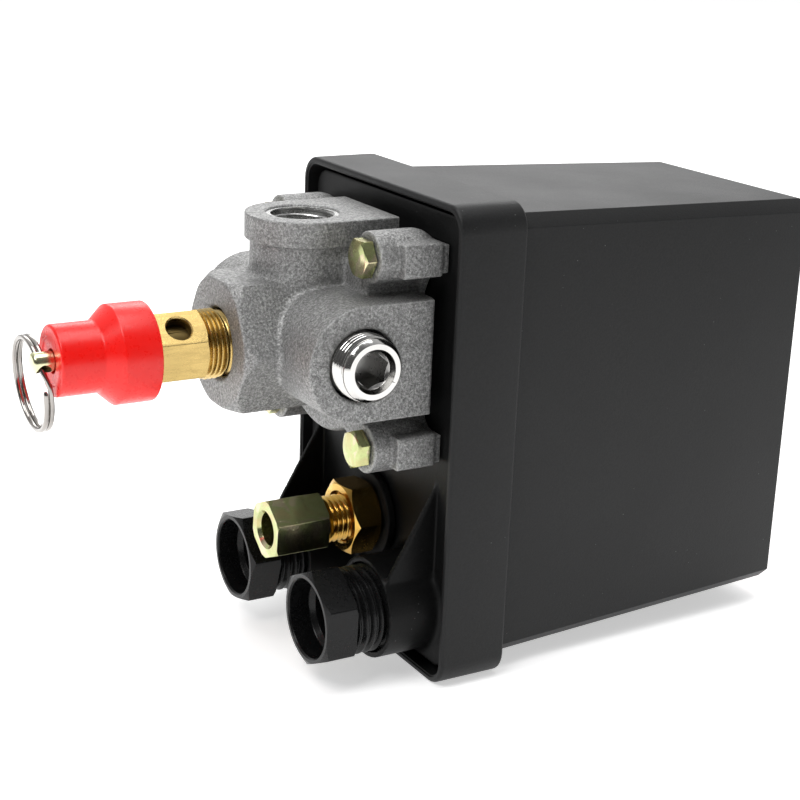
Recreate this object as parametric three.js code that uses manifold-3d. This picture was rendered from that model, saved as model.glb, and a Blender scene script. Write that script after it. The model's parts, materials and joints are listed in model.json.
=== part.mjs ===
// Four-port pressure switch for a small air compressor.
// Millimetres, +Z up, lying on the long side of its cover. The working axis of the switch runs along X:
// the cast manifold and the safety valve are at -X, the electrical cover is at +X.
// Pieces are laid out from the centre of the cover's front rim; the outer group then puts the origin under the middle
// of the whole switch, on the surface that it lies on.
import * as THREE from "three";
import { mergeVertices } from "three/addons/utils/BufferGeometryUtils.js";
import Module from "manifold-3d";

// ---- driving dimensions -------------------------------------------------------------------------------------------
const COLLAR = { halfY: 32.31, halfZ: 49, depth: 14.83, radius: 5.23, wall: 1.5, edge: 0.7 };
const BOX = { nearY: 29.11, nearZ: 46.24, farY: 26.39, farZ: 43.83, end: 90.8, chamfer: 2.53, wall: 2 };
const PLATE = { front: 2, back: 5, halfY: 29.7, halfZ: 46.4, radius: 4 };
const GLAND = { y: 17.4, z: -34.8, af: 18, bore: 8, shank: 8.9, mouth: -22.9, headBack: -16.1, socketOuter: 10.4, socketBore: 9.3, socketMouth: -9.6 };
const PORT = { r: 6.87, plug: 6.55 }; // 1/4 inch pipe thread, and what screws into it
const MAN = { z: 19, af: 26, end: -34.8, chamberR: 20.4, chamberFront: -12, back: 1.7 };
const TOP = { x: -16.6, r: 11.3, face: 43.6, thick: 5.1, neck: 10.25, right: -1.1 };
const SIDE = { x: -16, r: 11.5, face: 25.5, baseR: 11.8, right: -1 };
const BOLT = { y: 19, zTop: 38.1, zLow: 0.15, af: 7, headFront: -15, headBack: -12.5, r: 2, lug: 5, lugFront: -12.2 };
const VALVE = { z: 19, af: 13, turn: 19, hexFront: -49.2, hexBack: -38.9, thread: 6.85 };
const CAP = { front: -49.1, bigR: 9.6, bigEnd: -56.7, coneEnd: -59.7, smallR: 6.85, end: -68.1 };
const STEM = { r: 2, end: -71.8, hole: -69.9, holeR: 1.45 };
const RING = { r: 9, wire: 0.5, half: 1.03, lean: 5, tilt: 42 }; // lean of its plane from upright, tilt of its centre below level
const UNL = { z: -22, nutAf: 14.2, nutFront: -6.6, nutBack: -0.3, hexAf: 11.4, hexFront: -23.7, hexBack: -11.7, thread: 4.9, bore: 3.4 };
const LEVER = { pivotX: 15.5, pivotZ: 37, front: 10, thick: 1.8 };
const RANGE = { z: 8, springR: 7.5, springEnd: 46 };
const DIFF = { z: -7 };
const KNOB = { z: -16, r: 7.5, out: 99.5 };
const POSTS = [[20, 28], [-20, -6.5]];
const CENTRE_X = (STEM.end + KNOB.out) / 2;
const GAP = 0.3;
const FINENESS = 0.6; // share of the nominal number of sides that round pieces are given

// ---- materials ----------------------------------------------------------------------------------------------------
const std = (color, roughness, metalness = 0) => new THREE.MeshStandardMaterial({ color, roughness, metalness });
const M = {
  abs: std(0x1c1d1f, 0.45),
  nylon: std(0x141416, 0.35),
  cast: std(0x8a8a88, 0.6, 0.8),
  zincYellow: std(0xa79a4a, 0.3, 1),
  zinc: std(0xb8bcc0, 0.35, 1),
  brass: std(0xc9a24a, 0.25, 1),
  red: std(0xc81414, 0.35),
  nickel: std(0xd8d8d6, 0.12, 1),
  rubber: std(0x161616, 0.85),
  spring: std(0x8d8f92, 0.3, 1),
  bakelite: std(0x24201e, 0.5),
  copper: std(0xb87a4b, 0.3, 1),
  green: std(0x3c7a4a, 0.35, 0.9),
};

// ---- solids -------------------------------------------------------------------------------------------------------
const wasm = await Module();
wasm.setup();

// A closed three.js geometry as a solid, with shared corners merged and faces turned outwards.
function solid(geometry) {
  const g = geometry.clone();
  g.deleteAttribute("normal");
  g.deleteAttribute("uv");
  const m = mergeVertices(g, 1e-4);
  const p = m.attributes.position.array;
  const keep = [];
  let volume = 0;
  const ix = m.index.array;
  for (let i = 0; i < ix.length; i += 3) {
    const [a, b, c] = [ix[i], ix[i + 1], ix[i + 2]];
    if (a === b || b === c || a === c) continue;
    keep.push(a, b, c);
    const A = p.subarray(a * 3, a * 3 + 3), B = p.subarray(b * 3, b * 3 + 3), C = p.subarray(c * 3, c * 3 + 3);
    volume += A[0] * (B[1] * C[2] - B[2] * C[1]) + A[1] * (B[2] * C[0] - B[0] * C[2]) + A[2] * (B[0] * C[1] - B[1] * C[0]);
  }
  if (volume < 0) for (let i = 0; i < keep.length; i += 3) [keep[i + 1], keep[i + 2]] = [keep[i + 2], keep[i + 1]];
  return new wasm.Manifold(new wasm.Mesh({ numProp: 3, vertProperties: Float32Array.from(p), triVerts: Uint32Array.from(keep) }));
}
const join = (...s) => s.reduce((a, b) => a.add(b));
const cut = (a, ...s) => s.reduce((x, b) => x.subtract(b), a);

// Rotates a geometry built along +Z so that it runs along X or Y, starting at the given point.
const ALONG = {
  x: new THREE.Matrix4().makeBasis(new THREE.Vector3(0, 1, 0), new THREE.Vector3(0, 0, 1), new THREE.Vector3(1, 0, 0)),
  y: new THREE.Matrix4().makeBasis(new THREE.Vector3(0, 0, 1), new THREE.Vector3(1, 0, 0), new THREE.Vector3(0, 1, 0)),
  z: new THREE.Matrix4(),
};
const shift = (g, x, y, z) => g.applyMatrix4(new THREE.Matrix4().makeTranslation(x, y, z));

// Box between two corners.
function box(x0, x1, y0, y1, z0, z1) {
  return solid(shift(new THREE.BoxGeometry(x1 - x0, y1 - y0, z1 - z0), (x0 + x1) / 2, (y0 + y1) / 2, (z0 + z1) / 2));
}
// Turned piece: profile of [radius, position along the axis], closed on the axis at both ends.
function turned(profile, axis, at = [0, 0, 0], seg = 32) {
  const pts = profile.map(([r, t]) => new THREE.Vector2(r, t));
  const g = new THREE.LatheGeometry(pts, Math.max(10, Math.round(seg * FINENESS)));
  g.rotateX(Math.PI / 2); // the lathe axis becomes +Z
  g.applyMatrix4(ALONG[axis]);
  return solid(shift(g, ...at));
}
// Plain cylinder along X, Y or Z between two positions on that axis; at holds the two other coordinates in X, Y, Z order.
function rod(axis, r, t0, t1, at, seg = 32) {
  const p = [[0, t0], [r, t0], [r, t1], [0, t1]];
  const o = axis === "x" ? [0, at[0], at[1]] : axis === "y" ? [at[0], 0, at[1]] : [at[0], at[1], 0];
  return turned(p, axis, o, seg);
}
const ringOf = (axis, rIn, rOut, t0, t1, at, seg = 32) => cut(rod(axis, rOut, t0, t1, at, seg), rod(axis, rIn, t0 - 1, t1 + 1, at, seg));
// Hexagon bar along X; turn is the angle of one corner above -Y. Chamfered ends where asked, at a slope of cone degrees.
function hexX(af, x0, x1, y, z, turn, chamfer0 = 0, chamfer1 = 0, cone = 30) {
  const R = af / Math.sqrt(3);
  const s = new THREE.Shape();
  for (let k = 0; k < 6; k++) {
    const a = THREE.MathUtils.degToRad(turn + 60 * k);
    s[k ? "lineTo" : "moveTo"](-R * Math.cos(a), R * Math.sin(a));
  }
  const g = new THREE.ExtrudeGeometry(s, { depth: x1 - x0, bevelEnabled: false });
  g.applyMatrix4(ALONG.x);
  const bar = solid(shift(g, x0, y, z));
  if (!chamfer0 && !chamfer1) return bar;
  const inner = af / 2 - 0.15;
  const k = Math.tan(THREE.MathUtils.degToRad(cone));
  const c0 = chamfer0 ? (R + 0.2 - inner) * k : 0;
  const c1 = chamfer1 ? (R + 0.2 - inner) * k : 0;
  const prof = [[0, x0]];
  prof.push([chamfer0 ? inner : R + 0.2, x0]);
  if (c0) prof.push([R + 0.2, x0 + c0]);
  if (c1) prof.push([R + 0.2, x1 - c1]);
  prof.push([chamfer1 ? inner : R + 0.2, x1], [0, x1]);
  return bar.intersect(turned(prof, "x", [0, y, z], 36));
}
// Rounded rectangle in the YZ plane.
function rrect(hy, hz, r, seg = 5) {
  const s = new THREE.Shape();
  const pts = [];
  for (const [cy, cz, a0] of [[hy - r, hz - r, 0], [-(hy - r), hz - r, 90], [-(hy - r), -(hz - r), 180], [hy - r, -(hz - r), 270]])
    for (let i = 0; i <= seg; i++) {
      const a = THREE.MathUtils.degToRad(a0 + (90 * i) / seg);
      pts.push(new THREE.Vector2(cy + r * Math.cos(a), cz + r * Math.sin(a)));
    }
  s.setFromPoints(pts);
  return s;
}
// Extrusion of a YZ shape along X, whose far end may be scaled to other half sizes.
function prismX(shape, x0, x1, scaleY = 1, scaleZ = 1, options = {}) {
  const g = new THREE.ExtrudeGeometry(shape, { depth: x1 - x0, bevelEnabled: false, curveSegments: 6, ...options });
  const p = g.attributes.position;
  for (let i = 0; i < p.count; i++) {
    const t = Math.min(1, Math.max(0, p.getZ(i) / (x1 - x0)));
    p.setX(i, p.getX(i) * (1 + (scaleY - 1) * t));
    p.setY(i, p.getY(i) * (1 + (scaleZ - 1) * t));
  }
  g.applyMatrix4(ALONG.x);
  return solid(shift(g, x0, 0, 0));
}
// Coil spring along an axis: wire of radius w on a helix of radius R.
function coil(axis, R, w, t0, t1, turns, at, perTurn = 9, sides = 5) {
  const from = t0 + w + 0.01, to = t1 - w - 0.01;
  class Helix extends THREE.Curve {
    getPoint(t, o = new THREE.Vector3()) {
      const a = 2 * Math.PI * turns * t;
      return o.set(R * Math.cos(a), R * Math.sin(a), from + (to - from) * t);
    }
  }
  const s = new THREE.Shape();
  for (let k = 0; k < sides; k++) s[k ? "lineTo" : "moveTo"](w * Math.cos((2 * Math.PI * k) / sides), w * Math.sin((2 * Math.PI * k) / sides));
  const g = new THREE.ExtrudeGeometry(s, { steps: Math.round(turns * perTurn), extrudePath: new Helix(), bevelEnabled: false });
  g.applyMatrix4(ALONG[axis]);
  return solid(shift(g, ...(axis === "x" ? [0, at[0], at[1]] : [at[0], at[1], 0])));
}

const root = new THREE.Group();
const lay = new THREE.Group();
lay.position.set(-CENTRE_X, 0, COLLAR.halfZ);
root.add(lay);
function part(name, made, material) {
  const mesh = made.getMesh();
  const n = mesh.numProp;
  const v = new Float32Array((mesh.vertProperties.length / n) * 3);
  for (let i = 0; i < v.length / 3; i++) v.set(mesh.vertProperties.subarray(i * n, i * n + 3), i * 3);
  const g = new THREE.BufferGeometry();
  g.setAttribute("position", new THREE.BufferAttribute(v, 3));
  g.setIndex(new THREE.BufferAttribute(new Uint32Array(mesh.triVerts), 1));
  g.computeVertexNormals();
  const m = new THREE.Mesh(g, material);
  m.name = name;
  lay.add(m);
}

// ---- cover: collar with a rounded rim, then a tapered box with chamfered long edges --------------------------------
{
  const e = COLLAR.edge;
  const collar = prismX(rrect(COLLAR.halfY - e, COLLAR.halfZ - e, COLLAR.radius - e), 0, COLLAR.depth - 2 * e, 1, 1, {
    bevelEnabled: true, bevelSize: e, bevelThickness: e, bevelSegments: 2,
  }).translate([e, 0, 0]);
  const c = BOX.chamfer;
  const oct = (hy, hz, k) => {
    const s = new THREE.Shape();
    [[hy, hz - k], [hy - k, hz], [-(hy - k), hz], [-hy, hz - k], [-hy, -(hz - k)], [-(hy - k), -hz], [hy - k, -hz], [hy, -(hz - k)]].forEach(([a, b], i) => s[i ? "lineTo" : "moveTo"](a, b));
    return s;
  };
  const outer = prismX(oct(BOX.nearY, BOX.nearZ, c), COLLAR.depth - 1, BOX.end, BOX.farY / BOX.nearY, BOX.farZ / BOX.nearZ);
  const w = BOX.wall;
  const inner = prismX(oct(BOX.nearY - w, BOX.nearZ - w, c - 0.6), COLLAR.depth - 3, BOX.end - w, (BOX.farY - w) / (BOX.nearY - w), (BOX.farZ - w) / (BOX.nearZ - w));
  const recess = prismX(rrect(COLLAR.halfY - COLLAR.wall, COLLAR.halfZ - COLLAR.wall, COLLAR.radius - COLLAR.wall), -1, COLLAR.depth - 2);
  part("cover", cut(join(collar, outer), inner, recess,
    rod("x", KNOB.r + 0.4, 80, 95, [0, KNOB.z]),
    ...POSTS.map(([y, z]) => rod("x", 1.9, 85, 95, [y, z], 20))), M.abs);
  POSTS.forEach(([y, z], i) => part("cover_screw_" + (i + 1),
    cut(turned([[0, 78], [1.5, 78], [1.5, 91.1], [3.4, 91.1], [3.4, 92.4], [2.4, 93.2], [0, 93.4]], "x", [0, y, z], 20),
      box(92.4, 94, y - 0.4, y + 0.4, z - 5, z + 5)), M.zinc));
}

// ---- on/off push-pull knob in the cover's end wall ------------------------------------------------------------------
part("onoff_knob", turned([[0, 80.5], [6.5, 80.5], [6.5, 86.5], [9, 86.5], [9, 88.3], [KNOB.r, 88.3], [KNOB.r, 98.2], [KNOB.r - 1.3, KNOB.out], [0, KNOB.out]], "x", [0, 0, KNOB.z], 36), M.red);
part("knob_rod", turned([[0, 54], [1.6, 54], [2, 54.4], [2, 80.2], [0, 80.2]], "x", [0, 0, KNOB.z], 20), M.zinc);

// ---- base plate with its two cable sockets ---------------------------------------------------------------------------
{
  const r = GLAND.socketOuter;
  let p = prismX(rrect(PLATE.halfY, PLATE.halfZ, PLATE.radius), PLATE.front, PLATE.back);
  for (const s of [-1, 1]) {
    p = join(p, rod("x", r, GLAND.socketMouth, 10.5, [s * GLAND.y, GLAND.z], 36));
    const rib = new THREE.Shape([new THREE.Vector2(2.5, -7), new THREE.Vector2(2.5, -30), new THREE.Vector2(-9.2, -30), new THREE.Vector2(-9.2, -27.4)]);
    const g = new THREE.ExtrudeGeometry(rib, { depth: 1, bevelEnabled: false });
    g.rotateX(Math.PI / 2); // drawn in X and Z, thick along Y
    p = join(p, solid(shift(g, 0, s * 24.2 + 0.5, 0)));
  }
  for (const s of [-1, 1]) p = cut(p, rod("x", GLAND.socketBore, -11, 9, [s * GLAND.y, GLAND.z], 36), rod("x", 7, 8, 12, [s * GLAND.y, GLAND.z], 36));
  p = cut(p, rod("x", 5.2, -2, 8, [0, MAN.z]), rod("x", UNL.thread + 0.4, -2, 8, [0, UNL.z]));
  for (const y of [-BOLT.y, BOLT.y]) for (const z of [BOLT.zTop, BOLT.zLow]) p = cut(p, rod("x", BOLT.r + 0.3, -1, 8, [y, z], 20));
  part("base_plate", p, M.abs);
}

// ---- cable glands ------------------------------------------------------------------------------------------------------
for (const [s, side] of [[-1, "near"], [1, "far"]]) {
  const at = [s * GLAND.y, GLAND.z];
  part("gland_screw_" + side, cut(join(hexX(GLAND.af, GLAND.mouth, GLAND.headBack, ...at, s < 0 ? 27 : 12, 1, 0), rod("x", GLAND.shank, GLAND.headBack - 0.5, 1, at, 36)),
    turned([[0, -24], [GLAND.bore, -24], [GLAND.bore, -18.2], [7, -17.2], [7, 2], [0, 2]], "x", [0, ...at], 36)), M.nylon);
  part("gland_washer_" + side, ringOf("x", 6.6, 8.9, 1.3, 2.1, at), M.zinc);
  part("gland_seal_" + side, ringOf("x", 5.6, 9, 2.4, 8.7, at), M.rubber);
}

// ---- cast manifold -----------------------------------------------------------------------------------------------------
{
  const z = MAN.z;
  // Hexagonal barrel whose front corners are turned away into a disc.
  let m = hexX(MAN.af, MAN.end, -6, 0, z, 0, 1, 0, 51);
  // Diaphragm chamber.
  m = join(m, turned([[0, MAN.chamberFront], [MAN.chamberR - 1.4, MAN.chamberFront], [MAN.chamberR, MAN.chamberFront + 1.4], [MAN.chamberR, MAN.back], [0, MAN.back]], "x", [0, 0, z], 40));
  // A half-round pad with straight sides running back towards the plate.
  const dShape = (cx, r, right) => {
    const s = new THREE.Shape();
    s.moveTo(right, -r);
    s.lineTo(right, r);
    s.lineTo(cx, r);
    for (let i = 1; i < 9; i++) s.lineTo(cx - r * Math.sin((Math.PI * i) / 9), r * Math.cos((Math.PI * i) / 9));
    s.lineTo(cx, -r);
    return s;
  };
  // Top port: flange and neck.
  {
    const g = new THREE.ExtrudeGeometry(dShape(TOP.x, TOP.r, TOP.right), { depth: TOP.thick, bevelEnabled: false });
    m = join(m, solid(shift(g, 0, 0, TOP.face - TOP.thick)));
    const n = new THREE.ExtrudeGeometry(dShape(TOP.x, TOP.neck, TOP.right), { depth: 13, bevelEnabled: false });
    m = join(m, solid(shift(n, 0, 0, TOP.face - TOP.thick - 12.8)));
  }
  // Side ports: the pad widens a little towards the barrel.
  for (const s of [-1, 1]) {
    const d = 15.5;
    const g = new THREE.ExtrudeGeometry(dShape(SIDE.x, SIDE.r, SIDE.right), { depth: d, bevelEnabled: false });
    const p = g.attributes.position;
    for (let i = 0; i < p.count; i++) {
      const k = 1 + (SIDE.baseR / SIDE.r - 1) * (1 - p.getZ(i) / d);
      if (p.getX(i) < SIDE.right - 0.01) p.setX(i, SIDE.x + (p.getX(i) - SIDE.x) * k);
      p.setY(i, p.getY(i) * k);
    }
    // drawn in X and Z, with its face at the outer end of Y
    const b = new THREE.Matrix4().makeBasis(new THREE.Vector3(1, 0, 0), new THREE.Vector3(0, 0, 1), new THREE.Vector3(0, s, 0));
    g.applyMatrix4(b);
    m = join(m, solid(shift(g, 0, s * (SIDE.face - d), z)));
  }
  // Bolt lugs with their ears.
  for (const y of [-BOLT.y, BOLT.y]) for (const zz of [BOLT.zTop, BOLT.zLow]) {
    m = join(m, rod("x", BOLT.lug, BOLT.lugFront, MAN.back, [y, zz], 28));
    const a = Math.sign(y), i = a * (BOLT.y - 4), o = a * 25.9;
    m = join(m, box(-8.2, MAN.back, Math.min(i, o), Math.max(i, o), zz - 3.3, zz + 3.3));
    // arm from the lug to the chamber
    const g = new THREE.BoxGeometry(MAN.back - BOLT.lugFront - 0.2, 14, 8.4);
    g.rotateX(Math.atan2(z - zz, -y));
    m = join(m, solid(shift(g, (MAN.back + BOLT.lugFront + 0.2) / 2, y * 0.74, z + (zz - z) * 0.74)));
  }
  // Bores: four ports meeting in the middle, and the chamber behind them.
  m = cut(m,
    rod("x", PORT.r, MAN.end - 1, -24, [0, z], 36), rod("x", 4, -26, -2, [0, z], 24),
    rod("z", PORT.r, 31, TOP.face + 1, [TOP.x, 0], 36), rod("z", 4, z, 32, [TOP.x, 0], 24),
    rod("y", PORT.r, -SIDE.face - 1, -13.5, [SIDE.x, z], 36), rod("y", PORT.r, 13.5, SIDE.face + 1, [SIDE.x, z], 36), rod("y", 4, -14, 14, [SIDE.x, z], 24),
    rod("x", 17, -3, 3, [0, z], 40));
  for (const y of [-BOLT.y, BOLT.y]) for (const zz of [BOLT.zTop, BOLT.zLow]) m = cut(m, rod("x", BOLT.r + 0.3, -14, 4, [y, zz], 20));
  part("manifold", m, M.cast);
}
{
  // Blanking plug with a hexagon socket, threaded into the near port.
  const sock = new THREE.CylinderGeometry(6.35 / Math.sqrt(3), 6.35 / Math.sqrt(3), 6, 6);
  sock.rotateY(THREE.MathUtils.degToRad(12));
  part("port_plug", cut(turned([[0, -29.8], [5.4, -29.8], [6.4, -28.9], [PORT.plug, -16], [0, -16]], "y", [SIDE.x, 0, MAN.z], 36),
    turned([[0, -31], [4.6, -31], [4.6, -29.2], [3.4, -28.4], [0, -28.4]], "y", [SIDE.x, 0, MAN.z], 36),
    solid(shift(sock, SIDE.x, -26.5, MAN.z))), M.nickel);
}
// ---- flange bolts --------------------------------------------------------------------------------------------------------
[[-1, BOLT.zTop], [-1, BOLT.zLow], [1, BOLT.zTop], [1, BOLT.zLow]].forEach(([s, z], i) => {
  part("flange_bolt_" + (i + 1), join(hexX(BOLT.af, BOLT.headFront, BOLT.headBack, s * BOLT.y, z, [0, 24, 5, 40][i], 1, 0),
    rod("x", BOLT.r, BOLT.headBack - 0.5, 9, [s * BOLT.y, z], 20)), M.zincYellow);
});

// ---- safety valve ----------------------------------------------------------------------------------------------------------
{
  const z = VALVE.z;
  const a = THREE.MathUtils.degToRad(VALVE.turn + 30);
  const hole = new THREE.CylinderGeometry(2.5, 2.5, 9, 16);
  hole.applyMatrix4(new THREE.Matrix4().makeBasis(new THREE.Vector3(1, 0, 0), new THREE.Vector3(0, -Math.cos(a), Math.sin(a)), new THREE.Vector3(0, Math.sin(a), Math.cos(a))));
  const body = join(hexX(VALVE.af, VALVE.hexFront, VALVE.hexBack, 0, z, VALVE.turn, 0, 1),
    turned([[0, -39.5], [VALVE.thread, -39.5], [VALVE.thread, -35.1], [PORT.plug, -35.1], [PORT.plug, -26.6], [6, -26], [0, -26]], "x", [0, 0, z], 36),
    rod("x", 5.6, -57, -49, [0, z], 32));
  part("sv_body", cut(body, rod("x", 2, -39, -25, [0, z], 24), rod("x", 4.5, -58, -38.2, [0, z], 32),
    solid(shift(hole, -44.3, -Math.cos(a) * 7, z + Math.sin(a) * 7))), M.brass);
  part("sv_poppet", rod("x", 4, -40.7, -38.5, [0, z], 28), M.brass);
  part("sv_spring", coil("x", 3.15, 0.45, -54.2, -41, 5, [0, z], 8), M.spring);
  part("sv_adjuster", ringOf("x", 2.4, 4.2, -56.8, -54.5, [0, z], 28), M.brass);
  part("sv_cap", cut(turned([[0, CAP.front], [CAP.bigR - 0.5, CAP.front], [CAP.bigR, CAP.front - 0.5], [CAP.bigR, CAP.bigEnd], [CAP.smallR, CAP.coneEnd], [CAP.smallR, CAP.end + 0.5], [CAP.smallR - 0.5, CAP.end], [0, CAP.end]], "x", [0, 0, z], 40),
    rod("x", 6, -58.5, -49, [0, z], 32), rod("x", 2.4, -69, -58, [0, z], 24)).intersect(box(-80, CAP.front - 0.4, -20, 20, 0, 40)), M.red);
  // Stem, with a cross hole for the ring; the ring's plane leans a little from the stem's cross section.
  const lean = THREE.MathUtils.degToRad(RING.lean), tilt = THREE.MathUtils.degToRad(RING.tilt);
  const h = new THREE.Vector3(0, 1, 0), v = new THREE.Vector3(-Math.sin(lean), 0, Math.cos(lean));
  const d = h.clone().multiplyScalar(Math.cos(tilt)).addScaledVector(v, -Math.sin(tilt));
  const t = h.clone().multiplyScalar(Math.sin(tilt)).addScaledVector(v, Math.cos(tilt));
  const n = new THREE.Vector3().crossVectors(d, t);
  const basis = (ax) => new THREE.Matrix4().makeBasis(n.clone(), ax, new THREE.Vector3().crossVectors(n, ax));
  const cross = new THREE.CylinderGeometry(STEM.holeR, STEM.holeR, 12, 14);
  cross.applyMatrix4(basis(t));
  part("sv_stem", cut(turned([[0, STEM.end], [1.5, STEM.end], [STEM.r, STEM.end + 0.5], [STEM.r, -41], [0, -41]], "x", [0, 0, z], 28),
    solid(shift(cross, STEM.hole, 0, z))), M.zincYellow);
  const c = [];
  const w = RING.wire, q = RING.half;
  for (const [r, y] of [[RING.r - w, -q + 0.3], [RING.r - w + 0.2, -q], [RING.r + w - 0.2, -q], [RING.r + w, -q + 0.3], [RING.r + w, q - 0.3], [RING.r + w - 0.2, q], [RING.r - w + 0.2, q], [RING.r - w, q - 0.3], [RING.r - w, -q + 0.3]]) c.push(new THREE.Vector2(r, y));
  const ring = new THREE.LatheGeometry(c, 26);
  ring.applyMatrix4(new THREE.Matrix4().makeBasis(d.clone(), n.clone(), new THREE.Vector3().crossVectors(d, n)));
  part("sv_ring", solid(shift(ring, STEM.hole + d.x * RING.r, d.y * RING.r, z + d.z * RING.r)), M.nickel);
}

// ---- unloader valve ----------------------------------------------------------------------------------------------------------
{
  const z = UNL.z;
  part("unloader_coupling", cut(hexX(UNL.hexAf, UNL.hexFront, UNL.hexBack, 0, z, 24, 1, 1),
    turned([[0, -25], [4.1, -25], [4.1, -23.7], [UNL.bore, -23], [UNL.bore, -14], [0, -14]], "x", [0, 0, z], 28), rod("x", 2, -15, -11, [0, z], 20)), M.zincYellow);
  part("unloader_nut", cut(hexX(UNL.nutAf, UNL.nutFront, UNL.nutBack, 0, z, 2, 1, 1), rod("x", UNL.thread + 0.3, -8, 2, [0, z], 32)), M.zincYellow);
  part("unloader_washer", ringOf("x", UNL.thread + 0.3, 9.4, 0, 1.7, [0, z], 40), M.rubber);
  const b = join(rod("x", UNL.thread, -11.4, 6, [0, z], 32), hexX(13, 5.3, 7.7, 0, z, 0, 0, 0));
  part("unloader_body", cut(b, rod("x", 1.9, -13, -5, [0, z], 20), rod("x", 3.2, -5.2, 6.2, [0, z], 24), rod("x", 1.7, 5, 9, [0, z], 20)), M.zincYellow);
  part("unloader_pin", turned([[0, -1], [1.35, -1], [1.35, 1.5], [2.9, 1.5], [2.9, 2.8], [1.35, 2.8], [1.35, 9.3], [0.9, 9.7], [0, 9.7]], "x", [0, 0, z], 20), M.zinc);
  part("unloader_spring", coil("x", 2.3, 0.35, -4.9, 1.2, 4, [0, z], 8), M.spring);
}

// ---- diaphragm and piston ------------------------------------------------------------------------------------------------------
part("diaphragm", rod("x", 16.5, -2.5, -1.3, [0, MAN.z], 36), M.rubber);
part("piston", turned([[0, -1], [12, -1], [12, 0.7], [4, 1.1], [4, 9.2], [3.4, 9.7], [0, 9.7]], "x", [0, 0, MAN.z], 32), M.zinc);

// ---- frame, lever and springs -----------------------------------------------------------------------------------------------------
{
  let f = box(5.3, 6.8, -24, 24, -10.5, 44);
  for (const s of [-1, 1]) f = join(f, box(5.3, 20, s > 0 ? 13 : -14.5, s > 0 ? 14.5 : -13, 14, 43));
  f = cut(f, rod("x", 5.2, 4, 8, [0, MAN.z], 28), rod("x", 3.3, 4, 8, [0, RANGE.z], 24), rod("x", 2, 4, 8, [0, DIFF.z], 20), rod("y", 1.8, -16, 16, [LEVER.pivotX, LEVER.pivotZ], 24));
  for (const y of [-BOLT.y, BOLT.y]) for (const z of [BOLT.zTop, BOLT.zLow]) f = cut(f, rod("x", BOLT.r + 0.3, 4, 8, [y, z], 20));
  for (const s of [-1, 1]) f = cut(f, rod("x", 1.8, 4, 8, [s * 20.5, 19], 16));
  part("frame_bracket", f, M.zinc);
  for (const [i, s] of [[1, -1], [2, 1]])
    part("ground_screw_" + i, cut(turned([[0, 5.4], [1.5, 5.4], [1.5, 7.1], [3.2, 7.1], [3.2, 8.4], [2.4, 9.2], [0, 9.4]], "x", [0, s * 20.5, 19], 20), box(8.4, 10, s * 20.5 - 4, s * 20.5 + 4, 18.6, 19.4)), M.green);

  const x0 = LEVER.front, x1 = LEVER.front + LEVER.thick;
  let l = join(box(x0, x1, -11.5, 11.5, -12, 41), box(x0, x1, -4.5, 4.5, -26, -11));
  for (const s of [-1, 1]) l = join(l, box(x0, 19, s > 0 ? 10 : -11.5, s > 0 ? 11.5 : -10, 32.5, 41));
  l = cut(l, rod("x", 4.3, 8, 14, [0, RANGE.z], 24), rod("x", 2.8, 8, 14, [0, DIFF.z], 20), rod("y", 1.8, -16, 16, [LEVER.pivotX, LEVER.pivotZ], 24));
  part("main_lever", l, M.zinc);
  part("lever_pin", turned([[0, -16.4], [2.8, -16.4], [2.8, -15], [1.5, -15], [1.5, 15.6], [1.1, 16], [0, 16]], "y", [LEVER.pivotX, 0, LEVER.pivotZ], 20), M.zinc);

  part("range_stud", rod("x", 3, 5.4, 60, [0, RANGE.z], 24), M.zinc);
  part("range_spring", coil("x", 6.4, 1.0, x1 + GAP, RANGE.springEnd, 6, [0, RANGE.z]), M.spring);
  part("range_seat", ringOf("x", 3.4, 7.4, RANGE.springEnd + GAP, RANGE.springEnd + 2.2, [0, RANGE.z], 28), M.zinc);
  part("range_nut", cut(hexX(10, 48.6, 54.4, 0, RANGE.z, 15, 1, 1), rod("x", 3.3, 45, 58, [0, RANGE.z], 24)), M.zinc);

  part("diff_screw", cut(turned([[0, 5.4], [1.7, 5.4], [1.7, 29.6], [3.8, 29.6], [3.8, 32.2], [0, 32.2]], "x", [0, 0, DIFF.z], 24), box(31.2, 33, -0.5, 0.5, DIFF.z - 5, DIFF.z + 5)), M.zinc);
  part("diff_spring", coil("x", 2.9, 0.5, x1 + GAP, 29.3, 6, [0, DIFF.z], 8), M.spring);
}

// ---- cover posts ----------------------------------------------------------------------------------------------------------------------
POSTS.forEach(([y, z], i) => part("cover_post_" + (i + 1), cut(hexX(5.5, 7.1, 88.4, y, z, 0, 0, 0), rod("x", 1.8, 76, 90, [y, z], 20)), M.zinc));

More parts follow.
